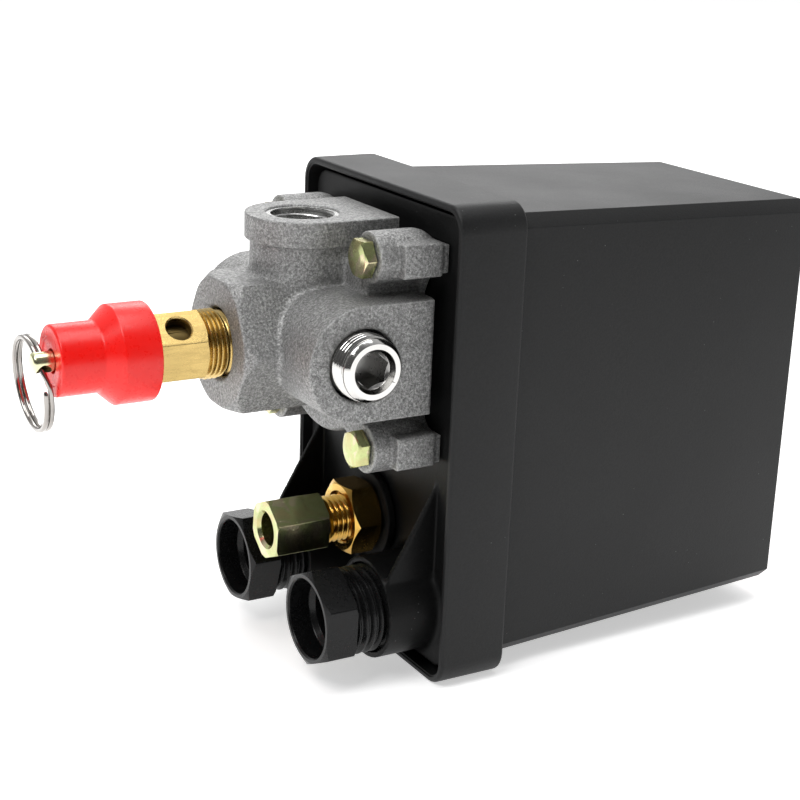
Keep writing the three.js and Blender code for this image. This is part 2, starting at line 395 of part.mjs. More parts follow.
// ---- contact block, terminals and carrier ------------------------------------------------------------------------------------------------
{
  let b = box(24, 38, -23, 23, -41, -21);
  for (const s of [-1, 1]) {
    b = join(b, box(24, 38, s > 0 ? 8 : -23, s > 0 ? 23 : -8, -22, -12));
    b = join(b, box(5.3, 25, s > 0 ? 19 : -23, s > 0 ? 23 : -19, -23.5, -19.5));
  }
  b = cut(b, box(36, 39, -0.9, 0.9, -42, -21.5));
  for (const y of [-18.4, -11.6, 11.6, 18.4]) b = cut(b, rod("x", 1.8, 27, 40, [y, -33], 16));
  part("contact_block", b, M.bakelite);
  [-18.4, -11.6, 11.6, 18.4].forEach((y, i) => {
    const e = y < 0 ? -1 : 1;
    const t = cut(join(box(38.3, 39.3, y - 2.9, y + 2.9, -38, -13), rod("x", 1.5, 39, 39.9, [y, -16], 16)), rod("x", 1.8, 37, 41, [y, -33], 16));
    part("terminal_plate_" + (i + 1), t, M.copper);
    part("terminal_screw_" + (i + 1), cut(turned([[0, 29], [1.4, 29], [1.4, 39.6], [2.9, 39.6], [2.9, 41], [2.2, 41.8], [0, 42]], "x", [0, y, -33], 20), box(41, 43, y - 0.4, y + 0.4, -38, -28)), M.zinc);
  });
  part("contact_carrier", join(box(12.2, 42, -4, 4, -19, -13), box(41.6, 44, -21, 21, -19, -13)), M.bakelite);
  for (const [i, s] of [[1, -1], [2, 1]])
    part("contact_bridge_" + i, join(box(40.5, 41.3, s > 0 ? 9.6 : -20.4, s > 0 ? 20.4 : -9.6, -18, -14), rod("x", 1.5, 40.2, 41, [s * 11.6, -16], 16), rod("x", 1.5, 40.2, 41, [s * 18.4, -16], 16)), M.copper);
}

export default root;
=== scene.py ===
import json
import math

import bmesh
import bpy
import numpy as np
from mathutils import Matrix, Vector


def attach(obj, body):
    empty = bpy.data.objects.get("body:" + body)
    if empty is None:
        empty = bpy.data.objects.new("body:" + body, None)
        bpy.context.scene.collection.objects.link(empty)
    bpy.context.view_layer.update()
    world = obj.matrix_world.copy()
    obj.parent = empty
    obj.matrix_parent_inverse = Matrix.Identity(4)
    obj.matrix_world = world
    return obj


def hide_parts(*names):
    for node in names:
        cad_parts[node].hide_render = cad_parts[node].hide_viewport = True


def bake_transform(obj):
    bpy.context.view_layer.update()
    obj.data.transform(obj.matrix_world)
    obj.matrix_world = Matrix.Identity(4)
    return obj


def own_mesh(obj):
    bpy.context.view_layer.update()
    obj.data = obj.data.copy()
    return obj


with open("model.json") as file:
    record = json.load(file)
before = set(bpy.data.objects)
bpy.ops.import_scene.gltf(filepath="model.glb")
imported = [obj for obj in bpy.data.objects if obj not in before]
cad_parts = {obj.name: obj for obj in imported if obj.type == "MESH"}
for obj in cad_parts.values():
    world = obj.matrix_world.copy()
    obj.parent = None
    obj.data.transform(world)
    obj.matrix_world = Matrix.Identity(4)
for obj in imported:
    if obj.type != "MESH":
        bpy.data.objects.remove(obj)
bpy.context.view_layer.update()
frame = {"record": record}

# ----------------------------------------------------------------------------------------------------------------------
# Frame. Sizes below are in millimetres from the middle of the cover's front rim; W() turns them into the part's frame.
# ----------------------------------------------------------------------------------------------------------------------
CX, CZ = 13.85, 49.0


def W(v):
    return (np.asarray(v, float).reshape(-1, 3) + [-CX, 0.0, CZ]) / 1000.0


def P(x, y, z):
    return Vector(((x - CX) / 1000, y / 1000, (z + CZ) / 1000))


# The mesh toolkit: every piece is a closed shell built from numbers.
def make_obj(V, F, name="tmp"):
    me = bpy.data.meshes.new(name)
    me.from_pydata(W(V).tolist(), [], [list(map(int, f)) for f in F])
    bm = bmesh.new()
    bm.from_mesh(me)
    bmesh.ops.remove_doubles(bm, verts=bm.verts, dist=2e-7)
    bmesh.ops.dissolve_degenerate(bm, edges=bm.edges, dist=1e-7)
    bmesh.ops.recalc_face_normals(bm, faces=bm.faces)
    bm.to_mesh(me)
    bm.free()
    ob = bpy.data.objects.new(name, me)
    bpy.context.scene.collection.objects.link(ob)
    return ob


def boolean(a, b, op="DIFFERENCE"):
    m = a.modifiers.new("b", "BOOLEAN")
    m.operation, m.solver, m.object = op, "EXACT", b
    dg = bpy.context.evaluated_depsgraph_get()
    me = bpy.data.meshes.new_from_object(a.evaluated_get(dg))
    a.modifiers.clear()
    old = a.data
    a.data = me
    bpy.data.meshes.remove(old)
    bpy.data.objects.remove(b)
    return a


def sub(a, *others):
    for b in others:
        boolean(a, b, "DIFFERENCE")
    return a


def add(a, *others):
    for b in others:
        boolean(a, b, "UNION")
    return a


def joined(objs):
    """Several shells in one object."""
    bm = bmesh.new()
    for o in objs:
        bm.from_mesh(o.data)
    me = bpy.data.meshes.new("joined")
    bm.to_mesh(me)
    bm.free()
    for o in objs[1:]:
        bpy.data.objects.remove(o)
    objs[0].data = me
    return objs[0]


def fillet(pts, n=4):
    """A 2-D line whose corners carry a radius: [(a, b, radius)] becomes [(a, b)] with arcs."""
    out = []
    k = len(pts)
    for i, p in enumerate(pts):
        r = p[2] if len(p) > 2 else 0
        if not r or i in (0, k - 1):
            out.append((p[0], p[1]))
            continue
        a, c, b = (np.array(pts[j][:2], float) for j in (i - 1, i, i + 1))
        u, v = (a - c) / np.linalg.norm(a - c), (b - c) / np.linalg.norm(b - c)
        ang = math.acos(max(-1, min(1, float(u @ v))))
        if ang > math.pi - 0.02:
            out.append((p[0], p[1]))
            continue
        d = min(r / math.tan(ang / 2), 0.49 * np.linalg.norm(a - c), 0.49 * np.linalg.norm(b - c))
        rr = d * math.tan(ang / 2)
        mid = (u + v) / np.linalg.norm(u + v)
        o = c + mid * (rr / math.sin(ang / 2))
        s, e = c + u * d - o, c + v * d - o
        a0, a1 = math.atan2(s[1], s[0]), math.atan2(e[1], e[0])
        da = (a1 - a0 + math.pi) % (2 * math.pi) - math.pi
        for j in range(n + 1):
            t = a0 + da * j / n
            out.append((o[0] + rr * math.cos(t), o[1] + rr * math.sin(t)))
    return out


def grid_faces(n, m, closed_rows=False):
    """Quads of an n by m grid whose columns wrap round."""
    F = []
    for i in range(n if closed_rows else n - 1):
        i2 = (i + 1) % n
        for j in range(m):
            j2 = (j + 1) % m
            F.append((i * m + j, i * m + j2, i2 * m + j2, i2 * m + j))
    return F


def place(axis, T, A, B, at):
    if axis == "x":
        return np.stack([T, A + at[0], B + at[1]], -1)
    if axis == "y":
        return np.stack([B + at[0], T, A + at[1]], -1)
    return np.stack([A + at[0], B + at[1], T], -1)


def lathe(prof, axis="x", at=(0, 0), seg=72, closed=False, n=4):
    """Turned piece: [(position along the axis, radius, fillet)]."""
    pr = np.array(fillet(prof, n)) if not closed else np.array([(p[0], p[1]) for p in prof])
    a = np.arange(seg) * 2 * math.pi / seg
    T = np.repeat(pr[:, 0][:, None], seg, 1)
    A, B = pr[:, 1][:, None] * np.cos(a), pr[:, 1][:, None] * np.sin(a)
    return make_obj(place(axis, T, A, B, at).reshape(-1, 3), grid_faces(len(pr), seg, closed))


def rod(axis, r, t0, t1, at, seg=64, e=0.0):
    return lathe([(t0, 0), (t0, r, e), (t1, r, e), (t1, 0)], axis, at, seg)


def tube(axis, r0, r1, t0, t1, at, seg=64, e=0.15):
    """A ring or bush with softened edges."""
    pr = fillet([((t0 + t1) / 2, r0), (t0, r0, e), (t0, r1, e), (t1, r1, e), (t1, r0, e), ((t0 + t1) / 2, r0)])
    return lathe(pr[:-1], axis, at, seg, closed=True)


def box(x0, x1, y0, y1, z0, z1):
    V = [(x, y, z) for x in (x0, x1) for y in (y0, y1) for z in (z0, z1)]
    F = [(0, 1, 3, 2), (4, 6, 7, 5), (0, 4, 5, 1), (2, 3, 7, 6), (0, 2, 6, 4), (1, 5, 7, 3)]
    return make_obj(V, F)


def prism(points, d0, d1, plane="yz"):
    """A polygon pulled along the third axis."""
    n = len(points)
    V = []
    for d in (d0, d1):
        for a, b in points:
            V.append({"yz": (d, a, b), "xz": (a, d, b), "xy": (a, b, d)}[plane])
    F = [tuple(range(n)), tuple(range(n, 2 * n))] + [(i, (i + 1) % n, n + (i + 1) % n, n + i) for i in range(n)]
    return make_obj(V, F)


def hexpoly(af, y, z, turn, r=0.0):
    """Hexagon in YZ with one corner turn degrees above -Y, its corners eased by r."""
    R = af / math.sqrt(3)
    c = [(y - R * math.cos(math.radians(turn + 60 * k)), z + R * math.sin(math.radians(turn + 60 * k))) for k in range(6)]
    if not r:
        return c
    pts = []
    for k in range(6):
        pts += fillet([(*c[k - 1], 0), (*c[k], r), (*c[(k + 1) % 6], 0)], 3)[1:-1]
    return pts


def hexbar(af, x0, x1, y, z, turn, c0=0, c1=0, bore=None, ease=0.12, cone=30, inner=None):
    """Hexagon bar along X whose ends may be turned to a cone, as a lathe does."""
    ob = prism(hexpoly(af, y, z, turn, ease), x0, x1)
    R = af / math.sqrt(3) + 0.4
    inner = inner or af / 2 - 0.12
    k = math.tan(math.radians(cone))
    dx = (R - inner) * k
    if c0 or c1:
        pr = [(x0, 0), (x0, inner if c0 else R)]
        if c0:
            pr.append((x0 + dx, R))
        if c1:
            pr.append((x1 - dx, R))
        pr += [(x1, inner if c1 else R), (x1, 0)]
        boolean(ob, lathe(pr, "x", (y, z), 96), "INTERSECT")
    if bore:
        sub(ob, lathe(bore, "x", (y, z), 64))
    return ob


def thread(axis, major, minor, pitch, t0, t1, at, seg=64, inner=None, internal=False, lead=0.0, sharp=0.32, taper=0.0, runout=0.6):
    """A true helical thread as a closed shell. inner is the bore's radius; internal is not used."""
    nn = 10
    turns = (t1 - t0) / pitch
    rows = int(math.ceil((turns + 2) * nn))
    j = np.arange(seg)
    i = np.arange(rows + 1)
    ph = (i % nn) / nn
    h = np.clip((0.5 - np.abs(ph - 0.5)) * 2 * (1 + sharp) - sharp / 2, 0, 1)
    X = (t0 - pitch) + i[:, None] * pitch / nn + pitch * j[None, :] / seg
    H = np.repeat(h[:, None], seg, 1)
    edge = np.minimum(X - t0, t1 - X)
    H = H * np.clip((edge + 0.02) / (runout * pitch), 0, 1) ** 0.6
    Rr = minor + (major - minor) * H + taper * (X - t0)
    X = np.clip(X, t0, t1)
    a = 2 * math.pi * j / seg
    V = place(axis, X, Rr * np.cos(a), Rr * np.sin(a), at).reshape(-1, 3)
    F = []
    for r in range(rows):
        for c in range(seg):
            if c < seg - 1:
                F.append((r * seg + c, r * seg + c + 1, (r + 1) * seg + c + 1, (r + 1) * seg + c))
            elif r + nn + 1 <= rows:
                F.append((r * seg + c, (r + nn) * seg, (r + nn + 1) * seg, (r + 1) * seg + c))
    # Rows whose every corner lies past an end are flat there: keep only faces with some length.
    xs = V[:, "xyz".index(axis)]
    F = [f for f in F if max(xs[list(f)]) - min(xs[list(f)]) > 1e-6]
    V = V.tolist()
    # Close the two ends with rings down to the bore, or to the middle.
    me = bpy.data.meshes.new("t")
    me.from_pydata(W(V).tolist(), [], F)
    bm = bmesh.new()
    bm.from_mesh(me)
    bmesh.ops.remove_doubles(bm, verts=bm.verts, dist=2e-7)
    bm.verts.ensure_lookup_table()
    loose = [v for v in bm.verts if not v.link_faces]
    bmesh.ops.delete(bm, geom=loose, context="VERTS")
    ax = "xyz".index(axis)
    shift = [-CX, 0.0, CZ][ax]
    rings = []
    other = [k for k in range(3) if k != ax]
    if axis == "x":
        centre = (at[0], at[1] + CZ)
    elif axis == "y":
        centre = (at[0] - CX, at[1] + CZ)
    else:
        centre = (at[0] - CX, at[1])
    for t in (t0, t1):
        pos = (t + shift) / 1000
        edges = [e for e in bm.edges if e.is_boundary and all(abs(v.co[ax] - pos) < 2e-6 for v in e.verts)]
        if not edges:
            continue
        made = bmesh.ops.extrude_edge_only(bm, edges=edges)["geom"]
        vs = [g for g in made if isinstance(g, bmesh.types.BMVert)]
        for v in vs:
            p = Vector((v.co[other[0]] * 1000 - centre[0], v.co[other[1]] * 1000 - centre[1]))
            if inner is None:
                p = Vector((0, 0))
            else:
                p = p.normalized() * inner
            v.co[other[0]], v.co[other[1]] = (centre[0] + p[0]) / 1000, (centre[1] + p[1]) / 1000
        rings.append(vs)
    bmesh.ops.remove_doubles(bm, verts=bm.verts, dist=2e-7)
    if inner is not None:
        edges = [e for e in bm.edges if e.is_boundary]
        if edges:
            bmesh.ops.bridge_loops(bm, edges=edges)
    bmesh.ops.recalc_face_normals(bm, faces=bm.faces)
    bm.to_mesh(me)
    bm.free()
    ob = bpy.data.objects.new("t", me)
    bpy.context.scene.collection.objects.link(ob)
    return ob


def sweep(path, r, sides=12, closed=False, flat=None):
    """A round wire along points, carried without twist."""
    p = np.array(path, float)
    n = len(p)
    tan = np.gradient(p, axis=0)
    tan /= np.linalg.norm(tan, axis=1)[:, None]
    up = np.cross(tan[0], [0.3, 0.2, 0.93])
    up /= np.linalg.norm(up)
    V = []
    for i in range(n):
        up = up - tan[i] * (up @ tan[i])
        up /= np.linalg.norm(up)
        sd = np.cross(tan[i], up)
        k = 1.0
        if not closed:
            q = min(i, n - 1 - i)
            k = [0.55, 0.88, 1.0][min(q, 2)]
        for s in range(sides):
            a = 2 * math.pi * s / sides
            V.append(p[i] + r * k * (math.cos(a) * up + math.sin(a) * sd))
    F = grid_faces(n, sides, closed)
    if not closed:
        F += [tuple(range(sides)), tuple(range((n - 1) * sides, n * sides))]
    return make_obj(V, F)


def coil_path(axis, R, t0, t1, turns, at, w, per=28, ends=0.8, start=0.0):
    """Spring line with closed end coils."""
    out = []
    N = int(turns * per)
    f, g = t0 + w, t1 - w
    for i in range(N + 1):
        a = i / per  # turns so far
        rest = turns - a
        # dead coils lie flat at both ends
        s = np.clip((a - ends * 0.6) / (turns - 1.2 * ends), 0, 1)
        e = 2.1 * w * (min(a, ends) / ends) if a < ends else 2.1 * w
        e2 = 2.1 * w * (min(rest, ends) / ends) if rest < ends else 2.1 * w
        t = f + e + (g - f - 4.2 * w) * s + (2.1 * w - e2)
        b = start + 2 * math.pi * a
        A, B = R * math.cos(b), R * math.sin(b)
        q = place(axis, np.array(t), np.array(A), np.array(B), at)
        out.append(q)
    return np.array(out)


# ----------------------------------------------------------------------------------------------------------------------
# Materials
# ----------------------------------------------------------------------------------------------------------------------
class Mat:
    def __init__(self, name):
        self.m = bpy.data.materials.new(name)
        self.m.use_nodes = True
        self.t = self.m.node_tree
        self.t.nodes.clear()
        self.out = self.t.nodes.new("ShaderNodeOutputMaterial")
        self.b = self.t.nodes.new("ShaderNodeBsdfPrincipled")
        self.t.links.new(self.b.outputs[0], self.out.inputs[0])
        self.tc = self.t.nodes.new("ShaderNodeTexCoord").outputs["Object"]
        self.height = None

    def link(self, a, b):
        self.t.links.new(a, b)

    def node(self, kind, **kw):
        n = self.t.nodes.new(kind)
        for k, v in kw.items():
            setattr(n, k, v)
        return n

    def stretch(self, sx, sy, sz):
        n = self.node("ShaderNodeMapping")
        n.inputs["Scale"].default_value = (sx, sy, sz)
        self.link(self.tc, n.inputs["Vector"])
        return n.outputs[0]

    def noise(self, scale, detail=2.0, rough=0.5, vec=None, distort=0.0):
        n = self.node("ShaderNodeTexNoise")
        n.inputs["Scale"].default_value = scale
        n.inputs["Detail"].default_value = detail
        n.inputs["Roughness"].default_value = rough
        n.inputs["Distortion"].default_value = distort
        self.link(vec or self.tc, n.inputs["Vector"])
        return n.outputs["Fac"]

    def voronoi(self, scale, feature="F1", vec=None):
        n = self.node("ShaderNodeTexVoronoi", feature=feature)
        n.inputs["Scale"].default_value = scale
        self.link(vec or self.tc, n.inputs["Vector"])
        return n.outputs["Distance"]

    def ramp(self, fac, stops):
        n = self.node("ShaderNodeValToRGB")
        el = n.color_ramp.elements
        while len(el) < len(stops):
            el.new(0.5)
        for e, (p, c) in zip(el, stops):
            e.position = p
            e.color = (*c, 1) if isinstance(c, (tuple, list)) else (c, c, c, 1)
        self.link(fac, n.inputs[0])
        return n.outputs[0]

    def span(self, fac, a, b, lo, hi, clamp=True):
        n = self.node("ShaderNodeMapRange", clamp=clamp)
        for i, v in enumerate((a, b, lo, hi)):
            n.inputs[i + 1].default_value = v
        self.link(fac, n.inputs[0])
        return n.outputs[0]

    def mix(self, fac, a, b, mode="MIX"):
        n = self.node("ShaderNodeMix", data_type="RGBA", blend_type=mode)
        if isinstance(fac, (int, float)):
            n.inputs[0].default_value = fac
        else:
            self.link(fac, n.inputs[0])
        for s, v in ((n.inputs[6], a), (n.inputs[7], b)):
            if isinstance(v, (tuple, list)):
                s.default_value = (*v, 1)
            else:
                self.link(v, s)
        return n.outputs[2]

    def math(self, op, a, b=0.0, clamp=False):
        n = self.node("ShaderNodeMath", operation=op, use_clamp=clamp)
        for s, v in ((n.inputs[0], a), (n.inputs[1], b)):
            if isinstance(v, (int, float)):
                s.default_value = v
            else:
                self.link(v, s)
        return n.outputs[0]

    def painted_bore_shade(self, axis, at, r, soft=0.15, beyond=None):
        """1 inside a radius (mm) of a line along X, Y or Z, 0 outside: a mask for painted shade inside a bore."""
        n = self.node("ShaderNodeSeparateXYZ")
        self.link(self.tc, n.inputs[0])
        a, b = [k for k in range(3) if k != "xyz".index(axis)]
        c = [at[0] - CX, at[1], at[2] + CZ]
        u = self.math("SUBTRACT", n.outputs[a], c[a] / 1000)
        v = self.math("SUBTRACT", n.outputs[b], c[b] / 1000)
        d = self.math("SQRT", self.math("ADD", self.math("MULTIPLY", u, u), self.math("MULTIPLY", v, v)))
        f = self.span(d, (r - soft) / 1000, (r + soft) / 1000, 1, 0)
        if beyond is not None:
            k = "xyz".index(axis)
            f = self.math("MULTIPLY", f, self.span(n.outputs[k], (beyond + [-CX, 0, CZ][k] - 0.2) / 1000, (beyond + [-CX, 0, CZ][k] + 0.2) / 1000, 0, 1))
        return f

    def pointy(self, lo, hi):
        return self.span(self.node("ShaderNodeNewGeometry").outputs["Pointiness"], lo, hi, 0, 1)

    def bump(self, height, distance, strength=1.0):
        n = self.node("ShaderNodeBump")
        n.inputs["Distance"].default_value = distance
        n.inputs["Strength"].default_value = strength
        self.link(height, n.inputs["Height"])
        if self.height is not None:
            self.link(self.height, n.inputs["Normal"])
        self.height = n.outputs[0]
        self.link(n.outputs[0], self.b.inputs["Normal"])

    def set(self, **kw):
        for k, v in kw.items():
            s = self.b.inputs[k.replace("_", " ")]
            if isinstance(v, tuple):
                s.default_value = (*v, 1)
            elif isinstance(v, (int, float)):
                s.default_value = v
            else:
                self.link(v, s)
        return self


def plastic(name, base, rough, fine=2600, fine_d=0.00003, blotch=0.25, spec=0.5, rvar=0.06, dust=0.0, scuff=0.0):
    m = Mat(name)
    big = m.noise(45, 3)
    grain = m.noise(fine, 3, 0.6)
    col = m.ramp(big, [(0.3, tuple(c * (1 - blotch) for c in base)), (0.7, tuple(c * (1 + blotch) for c in base))])
    col = m.mix(m.span(grain, 0.35, 0.7, 0, 0.35), col, tuple(min(1, c * 1.9 + 0.004) for c in base))
    r = m.math("ADD", m.span(big, 0.3, 0.7, rough - rvar, rough + rvar), m.span(grain, 0.3, 0.7, -rvar * 0.7, rvar * 0.7))
    if scuff:
        s = m.noise(300, 6, 0.7, m.stretch(1, 0.15, 1.6), 0.6)
        sm = m.span(s, 0.66, 0.74, 0, scuff)
        col = m.mix(sm, col, tuple(min(1, c * 1.6 + 0.02) for c in base))
        r = m.math("ADD", r, m.math("MULTIPLY", sm, 0.25))
    if dust:
        d = m.voronoi(520)
        dm = m.span(d, 0.035, 0.06, dust, 0.0)
        gate = m.span(m.noise(60, 2), 0.52, 0.6, 0, 1)
        dm = m.math("MULTIPLY", dm, gate)
        col = m.mix(dm, col, (0.35, 0.35, 0.35))
    m.set(Base_Color=col, Roughness=r, Metallic=0.0, Specular_IOR_Level=spec)
    m.bump(grain, fine_d, 1.0)
    m.bump(m.noise(160, 2), 0.00006, 0.6)
    return m.m


def cast(name):
    m = Mat(name)
    g1, g2 = m.noise(2100, 4, 0.62), m.noise(5200, 2, 0.6)
    big = m.noise(70, 3)
    g = m.math("ADD", m.math("MULTIPLY", g1, 0.6), m.math("MULTIPLY", g2, 0.4))
    col = m.ramp(g, [(0.36, (0.13, 0.13, 0.128)), (0.5, (0.285, 0.285, 0.282)), (0.64, (0.56, 0.56, 0.552))])
    col = m.mix(m.span(big, 0.35, 0.65, 0.0, 0.18), col, (0.23, 0.23, 0.227))
    # painted highlight: convex edges lightened
    col = m.mix(m.math("MULTIPLY", m.pointy(0.53, 0.60), 0.5), col, (0.62, 0.62, 0.61))
    # painted shade: hollows and creases darkened
    col = m.mix(m.math("MULTIPLY", m.pointy(0.48, 0.43), 0.4), col, (0.15, 0.15, 0.148))
    r = m.span(g, 0.35, 0.65, 0.62, 0.44)
    m.set(Base_Color=col, Roughness=r, Metallic=0.72)
    m.bump(g2, 0.00009, 0.8)
    m.bump(g1, 0.00022, 0.9)
    m.bump(m.noise(240, 3), 0.00025, 0.5)
    return m.m


def metal(name, base, rough, vary=0.12, streak=None, tint=None, fine=1800, fd=0.00001, dull=0.0, edge=None, wave=0.0, bore=None):
    m = Mat(name)
    big = m.noise(120, 3)
    col = m.ramp(big, [(0.3, tuple(c * (1 - vary) for c in base)), (0.7, tuple(min(1, c * (1 + vary)) for c in base))])
    if tint:
        t = m.noise(tint[1], 2, 0.5, None, 1.2)
        for lo, hi, c in tint[0]:
            col = m.mix(m.span(t, lo, hi, 0, tint[2]), col, c)
    g = m.noise(fine, 3, 0.6)
    r = m.math("ADD", m.span(big, 0.3, 0.7, rough * 0.8, rough * 1.25), m.span(g, 0.3, 0.7, -0.04, 0.04))
    if streak:
        s = m.noise(streak[0], 4, 0.65, m.stretch(*streak[1]))
        r = m.math("ADD", r, m.span(s, 0.35, 0.65, -0.05, 0.08))
        col = m.mix(m.span(s, 0.4, 0.7, 0, streak[2]), col, tuple(c * 0.55 for c in base))
        m.bump(s, streak[3], 0.7)
    if dull:
        d = m.noise(420, 5, 0.7)
        col = m.mix(m.span(d, 0.55, 0.72, 0, dull), col, tuple(c * 0.35 for c in base))
    if edge:
        col = m.mix(m.math("MULTIPLY", m.pointy(0.52, 0.6), 0.6), col, edge)
    # bore: painted shade, the inside of a bore darkened and made rougher
    if bore:
        k = m.painted_bore_shade(*bore[:3], beyond=bore[3])
        col = m.mix(k, col, tuple(c * bore[4] for c in base))
        r = m.math("ADD", r, m.math("MULTIPLY", k, 0.2))
    m.set(Base_Color=col, Roughness=r, Metallic=1.0)
    m.bump(g, fd, 0.8)
    if wave:
        m.bump(m.noise(90, 2), wave, 0.8)
    return m.m


M = {
    "cover": plastic("cover_plastic", (0.0095, 0.0097, 0.0100), 0.46, fine=2400, fine_d=0.000035, blotch=0.12, spec=0.24, rvar=0.035, dust=0.35),
    "plate": plastic("plate_plastic", (0.004, 0.0041, 0.0042), 0.42, fine=2600, fine_d=0.00003, blotch=0.15, spec=0.14, rvar=0.05, dust=0.3),
    "gland": plastic("gland_plastic", (0.004, 0.0041, 0.0043), 0.27, fine=1500, fine_d=0.000012, blotch=0.15, spec=0.24, rvar=0.03, dust=0.2, scuff=0.1),
    "cast": cast("cast_alloy"),
    "machined": metal("machined_alloy", (0.62, 0.62, 0.61), 0.24, 0.1, (900, (0.12, 0.12, 1.5), 0.35, 0.00001), fine=2500),
    "zinc_yellow": metal("zinc_yellow", (0.50, 0.45, 0.22), 0.2, 0.16, None, ([(0.36, 0.5, (0.50, 0.58, 0.26)), (0.52, 0.6, (0.70, 0.55, 0.42)), (0.6, 0.7, (0.74, 0.72, 0.40))], 150, 0.75), fine=1700, fd=0.000008, dull=0.25, wave=0.00002),
    "zinc_pale": metal("zinc_pale", (0.72, 0.68, 0.42), 0.2, 0.12, None, ([(0.4, 0.5, (0.74, 0.76, 0.48)), (0.55, 0.66, (0.82, 0.78, 0.62))], 120, 0.6), fine=1700, fd=0.000008, dull=0.15, wave=0.00002),
    "gold": metal("zinc_gold", (0.66, 0.40, 0.09), 0.2, 0.14, None, ([(0.55, 0.7, (0.90, 0.70, 0.30))], 150, 0.6), fine=1700, fd=0.000008),
    "zinc": metal("zinc_clear", (0.58, 0.60, 0.62), 0.3, 0.1, None, None, fine=900, fd=0.00002, dull=0.2),
    "steel": metal("spring_steel", (0.42, 0.43, 0.44), 0.28, 0.12, None, None, fine=1500, fd=0.00001, dull=0.3),
    # brass: bore= paints shade inside the valve body's bore
    "brass": metal("brass", (0.57, 0.41, 0.155), 0.24, 0.1, (700, (0.25, 1.4, 1.4), 0.3, 0.000014), None, fine=2200, fd=0.00001, dull=0.3, wave=0.000015, bore=("x", (0, 0, 19), 5.85, None, 0.3)),
    "nickel": metal("nickel", (0.66, 0.65, 0.63), 0.09, 0.05, None, None, fine=1200, fd=0.000006, dull=0.12, wave=0.00001),
    # nickel_plug: bore= paints shade inside the plug's hex socket
    "plug": metal("nickel_plug", (0.66, 0.65, 0.63), 0.1, 0.05, None, None, fine=1200, fd=0.000006, dull=0.12, wave=0.00001, bore=("y", (-16, 0, 19), 3.75, -29.0, 0.4)),
    # nickel_ring: nickel with its colour darkened, painted shade in place of darker reflections round the ring
    "ring": metal("nickel_ring", (0.38, 0.36, 0.34), 0.13, 0.1, None, None, fine=1200, fd=0.000006, dull=0.3, wave=0.00001),
    "copper": metal("copper", (0.80, 0.46, 0.28), 0.28, 0.12, (800, (1, 0.3, 0.3), 0.3, 0.00001), None, dull=0.35),
    "green": metal("earth_green", (0.16, 0.40, 0.16), 0.3, 0.15, None, None, dull=0.2),
    "rubber": plastic("rubber", (0.006, 0.006, 0.006), 0.62, fine=1800, fine_d=0.00004, blotch=0.2, spec=0.14),
    "bakelite": plastic("bakelite", (0.030, 0.022, 0.018), 0.42, fine=1500, fine_d=0.00003, blotch=0.3, spec=0.4, dust=0.2),
}


def red(name):
    m = Mat(name)
    big, grain = m.noise(60, 3), m.noise(900, 3)
    col = m.ramp(big, [(0.3, (0.78, 0.004, 0.002)), (0.7, (0.90, 0.007, 0.004))])
    s = m.noise(420, 6, 0.72, m.stretch(1.0, 1.0, 1.0), 0.8)
    sc = m.span(s, 0.70, 0.76, 0, 0.55)
    col = m.mix(sc, col, (0.9, 0.13, 0.10))
    r = m.math("ADD", m.span(grain, 0.3, 0.7, 0.24, 0.36), m.math("MULTIPLY", sc, 0.25))
    m.set(Base_Color=col, Roughness=r, Metallic=0.0, Specular_IOR_Level=0.5, Subsurface_Weight=0.12, Subsurface_Scale=0.001)
    m.b.inputs["Subsurface Radius"].default_value = (1.0, 0.25, 0.15)
    m.bump(grain, 0.000014, 0.8)
    m.bump(m.noise(130, 2), 0.00008, 0.6)
    return m.m


M["red"] = red("red_plastic")

BODY = {n: b for b, ns in frame["record"]["behaviour"]["bodies"].items() for n in ns}


def done(ob, name, mat, nodes, angle=32, bevel=0.0, segs=2, body=None, stretch=None):
    """Names a piece, gives it its material and shading, and puts it in place of its CAD node."""
    nodes = [nodes] if isinstance(nodes, str) else list(nodes)
    ob.name = name
    ob.data.name = name
    ob.data.materials.clear()
    ob.data.materials.append(M[mat])
    bm = bmesh.new()
    bm.from_mesh(ob.data)
    for f in bm.faces:
        f.smooth = True
        f.material_index = 0
    lim = math.radians(angle)
    for e in bm.edges:
        e.smooth = not (len(e.link_faces) == 2 and e.calc_face_angle(0) > lim)
    bm.to_mesh(ob.data)
    bm.free()
    if bevel:
        b = ob.modifiers.new("edges", "BEVEL")
        b.width, b.segments, b.limit_method, b.angle_limit = bevel / 1000, segs, "ANGLE", math.radians(35)
        b.harden_normals = True
        b.use_clamp_overlap = True
        b.miter_outer = "MITER_ARC"
    if stretch:
        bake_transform(ob)
    else:
        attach(ob, body or BODY[nodes[0]])
    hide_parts(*nodes)
    return ob


# ----------------------------------------------------------------------------------------------------------------------
# Rounded solids from distance fields: castings and mouldings whose parts run into each other with fillets
# ----------------------------------------------------------------------------------------------------------------------
def smin(a, b, k):
    h = np.clip(0.5 + 0.5 * (b - a) / k, 0, 1)
    return b + (a - b) * h - k * h * (1 - h)


def smax(a, b, k):
    return -smin(-a, -b, k)


def ext(d2, t, lo, hi, r=0.0):
    """A 2-D distance pulled from lo to hi, with its edges rounded by r."""
    a, b = d2 + r, np.maximum(lo - t, t - hi) + r
    return np.minimum(np.maximum(a, b), 0) + np.hypot(np.maximum(a, 0), np.maximum(b, 0)) - r


def rect2(a, b, a0, a1, b0, b1, r=0.0):
    p, q = np.maximum(a0 - a, a - a1) + r, np.maximum(b0 - b, b - b1) + r
    return np.minimum(np.maximum(p, q), 0) + np.hypot(np.maximum(p, 0), np.maximum(q, 0)) - r


def hex2(y, z, af, turn, r=0.0):
    d = None
    for k in range(3):
        a = math.radians(turn + 30 + 60 * k)
        e = np.abs(-y * math.cos(a) + z * math.sin(a)) - (af / 2 - r)
        d = e if d is None else np.maximum(d, e)
    return d - r * 0.4 if r else d


